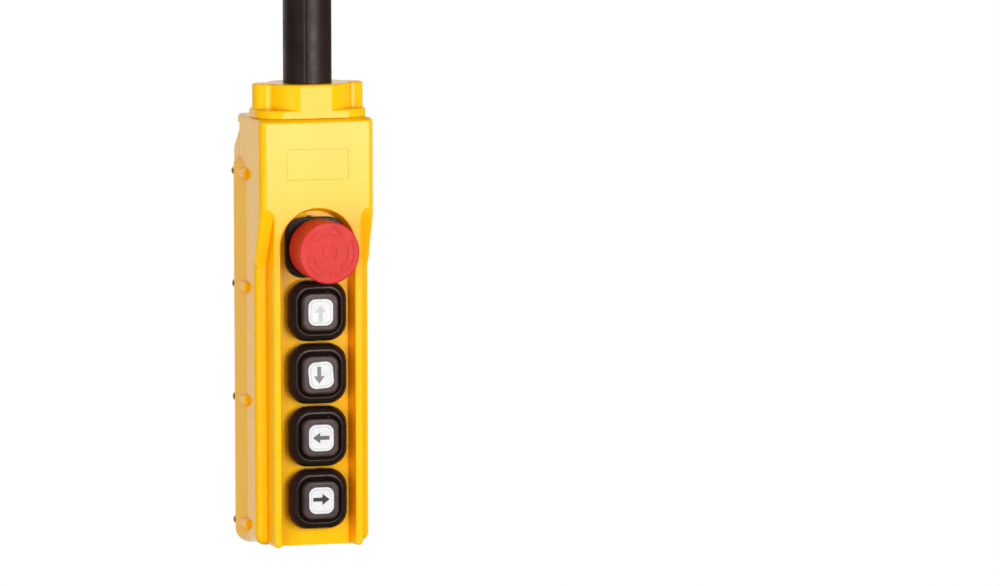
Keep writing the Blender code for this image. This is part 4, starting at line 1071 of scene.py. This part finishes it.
def make_boot(name, z):
    """A rubber frame with a round shoulder and a soft ridge round the button."""
    belly = BOOT_WIDTH / 2
    crest = BOOT_RIDGE_WIDTH / 2 + BOOT_RIDGE_ROUND
    profile = [(belly - BOOT_FOOT_INSET, CLEARANCE), (belly, BOOT_BELLY_HEIGHT)]
    for angle in quarter_turn(steps=FILLET_STEPS * 2)[1:-1]:
        height = BOOT_BELLY_HEIGHT + (BOOT_HEIGHT - BOOT_BELLY_HEIGHT) * sin(angle)
        profile.append((crest + (belly - crest) * cos(angle), height))
    for step in range(FILLET_STEPS + 1):
        angle = radians(90 + BOOT_RIDGE_WRAP_DEGREES * step / FILLET_STEPS)
        height = BOOT_HEIGHT - BOOT_RIDGE_ROUND + BOOT_RIDGE_ROUND * sin(angle)
        profile.append((crest + BOOT_RIDGE_ROUND * cos(angle), height))
    longer = (BOOT_LENGTH - BOOT_WIDTH) / 2
    levels = [
        (rounded_square(half, half + longer, BOOT_CORNER_RADIUS * half / belly), height)
        for half, height in profile
    ]
    opening = button_outline(BOOT_GAP)
    room = BUSH_FLANGE_RADIUS + CLEARANCE
    seat = rounded_square(room, room, BUTTON_CORNER_RADIUS)
    lip = BUSH_FLANGE_HEIGHT + CLEARANCE * 2
    levels += [(opening, BOOT_HEIGHT - BOOT_LIP_DROP), (opening, lip), (seat, lip), (seat, CLEARANCE)]
    boot = raised(name + "_boot_rubber", levels, z, ring=True)
    dress(boot, RUBBER, "housing", "black_rubber", name + "_boot")


def make_button(name, z):
    """The button's face, with a pocket for its legend, and the stem and foot behind it."""
    rear = BUTTON_HEIGHT - BUTTON_THICKNESS
    foot_top = -BUSH_LENGTH - RUNNING_GAP
    foot = disc(STEM_FOOT_RADIUS)
    stem = disc(STEM_RADIUS)
    levels = [
        (foot, foot_top - STEM_FOOT_HEIGHT), (foot, foot_top), (stem, foot_top), (stem, rear),
        (button_outline(0.0), rear),
    ]
    for depth, inset in round_to_face(BUTTON_EDGE_RADIUS):
        levels.append((button_outline(-inset), BUTTON_HEIGHT - depth))
    button = raised(name + "_button_face", levels, z)
    pocket = legend_outline(CLEARANCE)
    pocket_levels = [(pocket, BUTTON_HEIGHT - LEGEND_POCKET), (pocket, BUTTON_HEIGHT + OVERCUT)]
    combine(button, [(CUT, raised("legend_pocket", pocket_levels, z))])
    dress(button, SHEEN_PAINTED_RUBBER, name + "_button", "black_rubber", name + "_button")


def make_legend(name, z, tilt):
    """The white tile with a raised rim round a dish."""
    def tile(inset):
        return turned(legend_outline(-inset), tilt)
    levels = [(tile(0.0), BUTTON_HEIGHT - LEGEND_POCKET + CLEARANCE)]
    levels += [(tile(inset), LEGEND_TOP - depth) for depth, inset in round_to_face(LEGEND_EDGE)]
    levels += [(tile(LEGEND_RIM), LEGEND_TOP), (tile(LEGEND_RIM + LEGEND_DISH), LEGEND_TOP - LEGEND_DISH)]
    legend = raised(name + "_legend_tile", levels, z)
    dress(legend, WHITE, name + "_button", "white_plastic", name + "_legend")


def make_arrow(name, z):
    """The arrow printed in the legend's dish."""
    tip = ARROW_LENGTH / 2
    neck = tip - ARROW_HEAD_LENGTH
    barb = ARROW_HEAD_WIDTH / 2
    shaft = ARROW_SHAFT_WIDTH / 2
    outline = [
        (-shaft, -tip), (shaft, -tip), (shaft, neck), (barb, neck), (0.0, tip), (-barb, neck), (-shaft, neck),
    ]
    outline = shifted(turned(outline, radians(ARROW_TURNS[name])), *ARROW_SHIFTS[name])
    dish_y = PANEL_Y - LEGEND_TOP + LEGEND_DISH
    arrow = prism(name + "_arrow", outline, dish_y - ARROW_FILM, dish_y + ARROW_FILM, z)
    dress(arrow, ARROW_INKS[name], name + "_button", "grey_plastic")


# Emergency stop

def make_collar():
    """The square collar with its neck, barrel and bore, and a nub on its upper side."""
    half = COLLAR_WIDTH / 2
    def plate(inset, height):
        share = height / COLLAR_HEIGHT
        radius = COLLAR_CORNER_RADIUS + (COLLAR_FRONT_CORNER - COLLAR_CORNER_RADIUS) * share
        return rounded_square(half, half, radius, -inset), height
    neck = disc(COLLAR_NECK_RADIUS)
    barrel = disc(COLLAR_BARREL_RADIUS)
    stem_hole = disc(ESTOP_STEM_RADIUS + RUNNING_GAP)
    bore = disc(COLLAR_BORE_RADIUS)
    lip_top = -COLLAR_BARREL_LENGTH + COLLAR_LIP
    levels = [(neck, COLLAR_NECK_HEIGHT), (neck, COLLAR_HEIGHT)]
    levels += [plate(inset, COLLAR_HEIGHT - depth) for depth, inset in quarter_round(COLLAR_EDGE_RADIUS)]
    levels += [
        plate(0.0, CLEARANCE), (barrel, CLEARANCE), (barrel, -COLLAR_BARREL_LENGTH),
        (stem_hole, -COLLAR_BARREL_LENGTH), (stem_hole, lip_top), (bore, lip_top), (bore, COLLAR_NECK_HEIGHT),
    ]
    nub = box(
        "nub", NUB_WIDTH / 2, PANEL_Y - COLLAR_HEIGHT + COLLAR_EDGE_RADIUS, PANEL_Y - COLLAR_EDGE_RADIUS,
        ESTOP_Z, ESTOP_Z + half + NUB_HEIGHT, NUB_PLACE,
    )
    start = PANEL_Y - COLLAR_NECK_HEIGHT
    mouth = rods_at("mouth", [(0.0, ESTOP_Z)], start, COLLAR_NECK_HEIGHT, COLLAR_NECK_RADIUS, ROUND_SIDES)
    combine(nub, [(CUT, mouth)])
    collar = combine(raised("estop_collar_plate", levels, ESTOP_Z, ring=True), [(JOIN, nub)])
    dress(collar, BLACK, "housing", "black_plastic", "estop_collar")


def groove(name, path):
    """A closed groove cutter that follows a path on the head's face, with its sharp corners cut short."""
    inner, outer = [], []
    for index, point in enumerate(path):
        here = Vector(point)
        into = (here - Vector(path[index - 1])).normalized()
        out = (Vector(path[(index + 1) % len(path)]) - here).normalized()
        side = Vector((-into.y - out.y, into.x + out.x)).normalized()
        lean = max(GROOVE_LEAST_LEAN, side.dot(Vector((-into.y, into.x))))
        shift = side * (GROOVE_WIDTH / 2 / lean)
        inner.append(tuple(here + shift))
        outer.append(tuple(here - shift))
    return channel(name, outer, inner, HEAD_FACE_Y - OVERCUT, HEAD_FACE_Y + GROOVE_DEPTH, ESTOP_Z)


def turn_arrow_path(tip):
    """Outline of a curved arrow; angles count clockwise from the top as seen from the front."""
    def at(radius, angle):
        turn = radians(angle)
        return radius * sin(turn), radius * cos(turn)
    neck = tip - TURN_ARROW_HEAD
    tail = tip - TURN_ARROW_SWEEP
    angles = [tail + (neck - tail) * step / TURN_ARROW_STEPS for step in range(TURN_ARROW_STEPS + 1)]
    middle = (TURN_ARROW_INNER + TURN_ARROW_OUTER) / 2
    path = [at(TURN_ARROW_OUTER, angle) for angle in angles]
    path += [at(TURN_ARROW_OUTER + TURN_ARROW_BARB, neck), at(middle, tip)]
    path += [at(TURN_ARROW_INNER - TURN_ARROW_BARB, neck)]
    path += [at(TURN_ARROW_INNER, angle) for angle in reversed(angles)]
    return path


def head_side(height):
    """The head's radius at a height; it narrows towards the rear."""
    share = (HEAD_HEIGHT - height) / (HEAD_HEIGHT - HEAD_REAR_HEIGHT)
    return HEAD_RADIUS - HEAD_TAPER * share


def head_level(radius, height, rib=0.0):
    """A round of the head at a height, with grooves of a depth between its ribs."""
    points = []
    for step, (across, along) in enumerate(circle(1.0, HEAD_RIBS * RIB_POINTS)):
        reach = radius - rib * (0.5 - 0.5 * cos(tau * step / RIB_POINTS))
        points.append((reach * across, reach * along))
    return points, height


def head_body():
    hollow = HEAD_REAR_HEIGHT + HEAD_HOLLOW_DEPTH
    socket = ESTOP_STEM_RADIUS + CLEARANCE
    rear = head_side(HEAD_REAR_HEIGHT)
    profile = [
        (socket, HEAD_HEIGHT - HEAD_FRONT_WALL), (socket, hollow),
        (rear - HEAD_SKIRT, hollow), (rear - HEAD_SKIRT, HEAD_REAR_HEIGHT),
    ]
    for depth, inset in quarter_round(HEAD_EDGE_RADIUS / 2, REAR_EDGE_STEPS):
        profile.append((rear - inset, HEAD_REAR_HEIGHT + depth))
    low = HEAD_REAR_HEIGHT + HEAD_RIB_MARGIN
    high = HEAD_HEIGHT - HEAD_EDGE_RADIUS - HEAD_RIB_MARGIN
    profile += [
        (head_side(low), low), (head_side(low), low + HEAD_RIB_DEPTH, HEAD_RIB_DEPTH),
        (head_side(high), high, HEAD_RIB_DEPTH), (head_side(high), high + HEAD_RIB_DEPTH),
    ]
    for depth, inset in round_to_face(HEAD_EDGE_RADIUS):
        profile.append((HEAD_RADIUS - inset, HEAD_HEIGHT - depth))
    return raised("estop_head_cap", [head_level(*level) for level in profile], ESTOP_Z)


def make_head():
    """The red mushroom head: fine ribs round its side, turn arrows and a ring engraved in its face."""
    steps = [(CUT, groove("turn_arrow", turn_arrow_path(tip))) for tip in TURN_ARROW_TIPS]
    ring_path = list(reversed(circle(CENTRE_RING_RADIUS, ROUND_SIDES)))
    steps.append((CUT, groove("centre_ring", ring_path)))
    head = combine(head_body(), steps)
    dress(head, RED, "estop_head", "red_plastic", "estop_head", angle=HEAD_SHARP_ANGLE)


# Return springs

def make_spring(name):
    """The solid's own coil, copied as a steel piece on the housing in place of the solid."""
    spring = add_object(name + "_coil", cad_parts[name].data.copy())
    dress(spring, STEEL, "housing", "steel", name)
    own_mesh(spring)


# Make the pieces

make_housing()
make_cover()
make_screws()
make_cap()
make_sleeve()
make_collar()
make_head()
make_spring("estop_spring")
for button_name, station in zip(BUTTON_NAMES, STATIONS[1:]):
    make_boot(button_name, station)
    make_button(button_name, station)
    make_legend(button_name, station, LEGEND_TILT if button_name == "down" else 0.0)
    make_arrow(button_name, station)
    make_spring(button_name + "_spring")


# Materials of the solids that stay as they are

def kept_look(name):
    if name.endswith("gasket"):
        return SEAL
    if "screw" in name or name.endswith("spring"):
        return STEEL
    if name.endswith("nut") or name in ("estop_stem", "cable_clamp"):
        return GREY
    return BLACK


for node_name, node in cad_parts.items():
    node.data.materials.clear()
    node.data.materials.append(kept_look(node_name))


# Light and camera

WORLD_LIGHT = 0.36
STUDIO_BACK = 0.85
STUDIO_FRONT = 0.03
FADE_START = 0.55
FADE_END = 0.93

# Lamps: degrees round from the front, distance, height of the middle, width, height and radiance
LAMPS = {
    "softbox": (15, 1.5, 0.035, 0.70, 0.73, 6.6),
    "key": (4, 1.6, -0.3, 0.5, 0.5, 6.2),
    "fill": (-48, 1.8, -0.3, 1.2, 1.2, 4.2),
    "right": (95, 1.8, -0.2, 1.2, 1.2, 4.6),
    "back": (170, 1.8, 0.6, 1.2, 1.2, 4.6),
}

CAMERA_TURN = radians(-15.88)
CAMERA_RISE = radians(6.5)
CAMERA_DISTANCE = 4.6
CAMERA_TARGET = Vector((0.11235, 0.0, -0.2224))
CAMERA_LENS = 291.82
CAMERA_ROLL = radians(-0.1106)
CAMERA_SENSOR = 36.0
CAMERA_REACH = 50.0


def make_world():
    """White behind the part for the eye and in mirror images, dark in front, soft light all round."""
    world = bpy.data.worlds.new("studio")
    bpy.context.scene.world = world
    world.use_nodes = True
    tree = world.node_tree
    path = add_node(tree, "LightPath", {}).outputs
    towards = add_node(tree, "TexCoord", {}).outputs["Generated"]
    parts = add_node(tree, "SeparateXYZ", {"Vector": towards})
    fade = add_node(tree, "MapRange", {
        "Value": parts.outputs["Y"], "From Min": FADE_START, "From Max": FADE_END,
        "To Min": STUDIO_FRONT, "To Max": STUDIO_BACK,
    })
    fade.interpolation_type = "SMOOTHSTEP"
    seen = add_node(tree, "Math", {0: path["Is Camera Ray"], 1: path["Is Transmission Ray"]})
    seen.operation = "MAXIMUM"
    light = add_node(tree, "Mix", {
        "Factor": path["Is Glossy Ray"], "A": WORLD_LIGHT, "B": fade.outputs["Result"],
    })
    shown = add_node(tree, "Mix", {"Factor": seen.outputs["Value"], "A": light.outputs["Result"], "B": 1.0})
    set_sockets(tree, tree.nodes["Background"], {
        "Color": (1.0, 1.0, 1.0, 1.0), "Strength": shown.outputs["Result"],
    })


def make_lamps():
    """Soft rectangles that face the part; of these, only the softbox shows in mirror images."""
    for name, (degrees, distance, middle, width, height, radiance) in LAMPS.items():
        turn = radians(degrees)
        lamp = bpy.data.lights.new(name, "AREA")
        lamp.shape = "RECTANGLE"
        lamp.size = width
        lamp.size_y = height
        lamp.energy = radiance * pi * width * height
        thing = add_object(name, lamp)
        thing.location = (distance * sin(turn), -distance * cos(turn), middle)
        thing.rotation_euler = (radians(90), 0.0, turn)
        thing.visible_camera = False
        thing.visible_glossy = name == "softbox"


def make_camera():
    camera = bpy.data.cameras.new("camera")
    camera.sensor_width = CAMERA_SENSOR
    camera.lens = CAMERA_LENS
    camera.clip_end = CAMERA_REACH
    thing = add_object("camera", camera)
    turn = Matrix.Rotation(CAMERA_TURN, 4, "Z") @ Matrix.Rotation(radians(90) - CAMERA_RISE, 4, "X")
    back = Matrix.Translation((0.0, 0.0, CAMERA_DISTANCE)) @ Matrix.Rotation(CAMERA_ROLL, 4, "Z")
    thing.matrix_world = Matrix.Translation(CAMERA_TARGET) @ turn @ back
    bpy.context.scene.camera = thing


make_world()
make_lamps()
make_camera()
bpy.context.scene.view_settings.view_transform = "Standard"
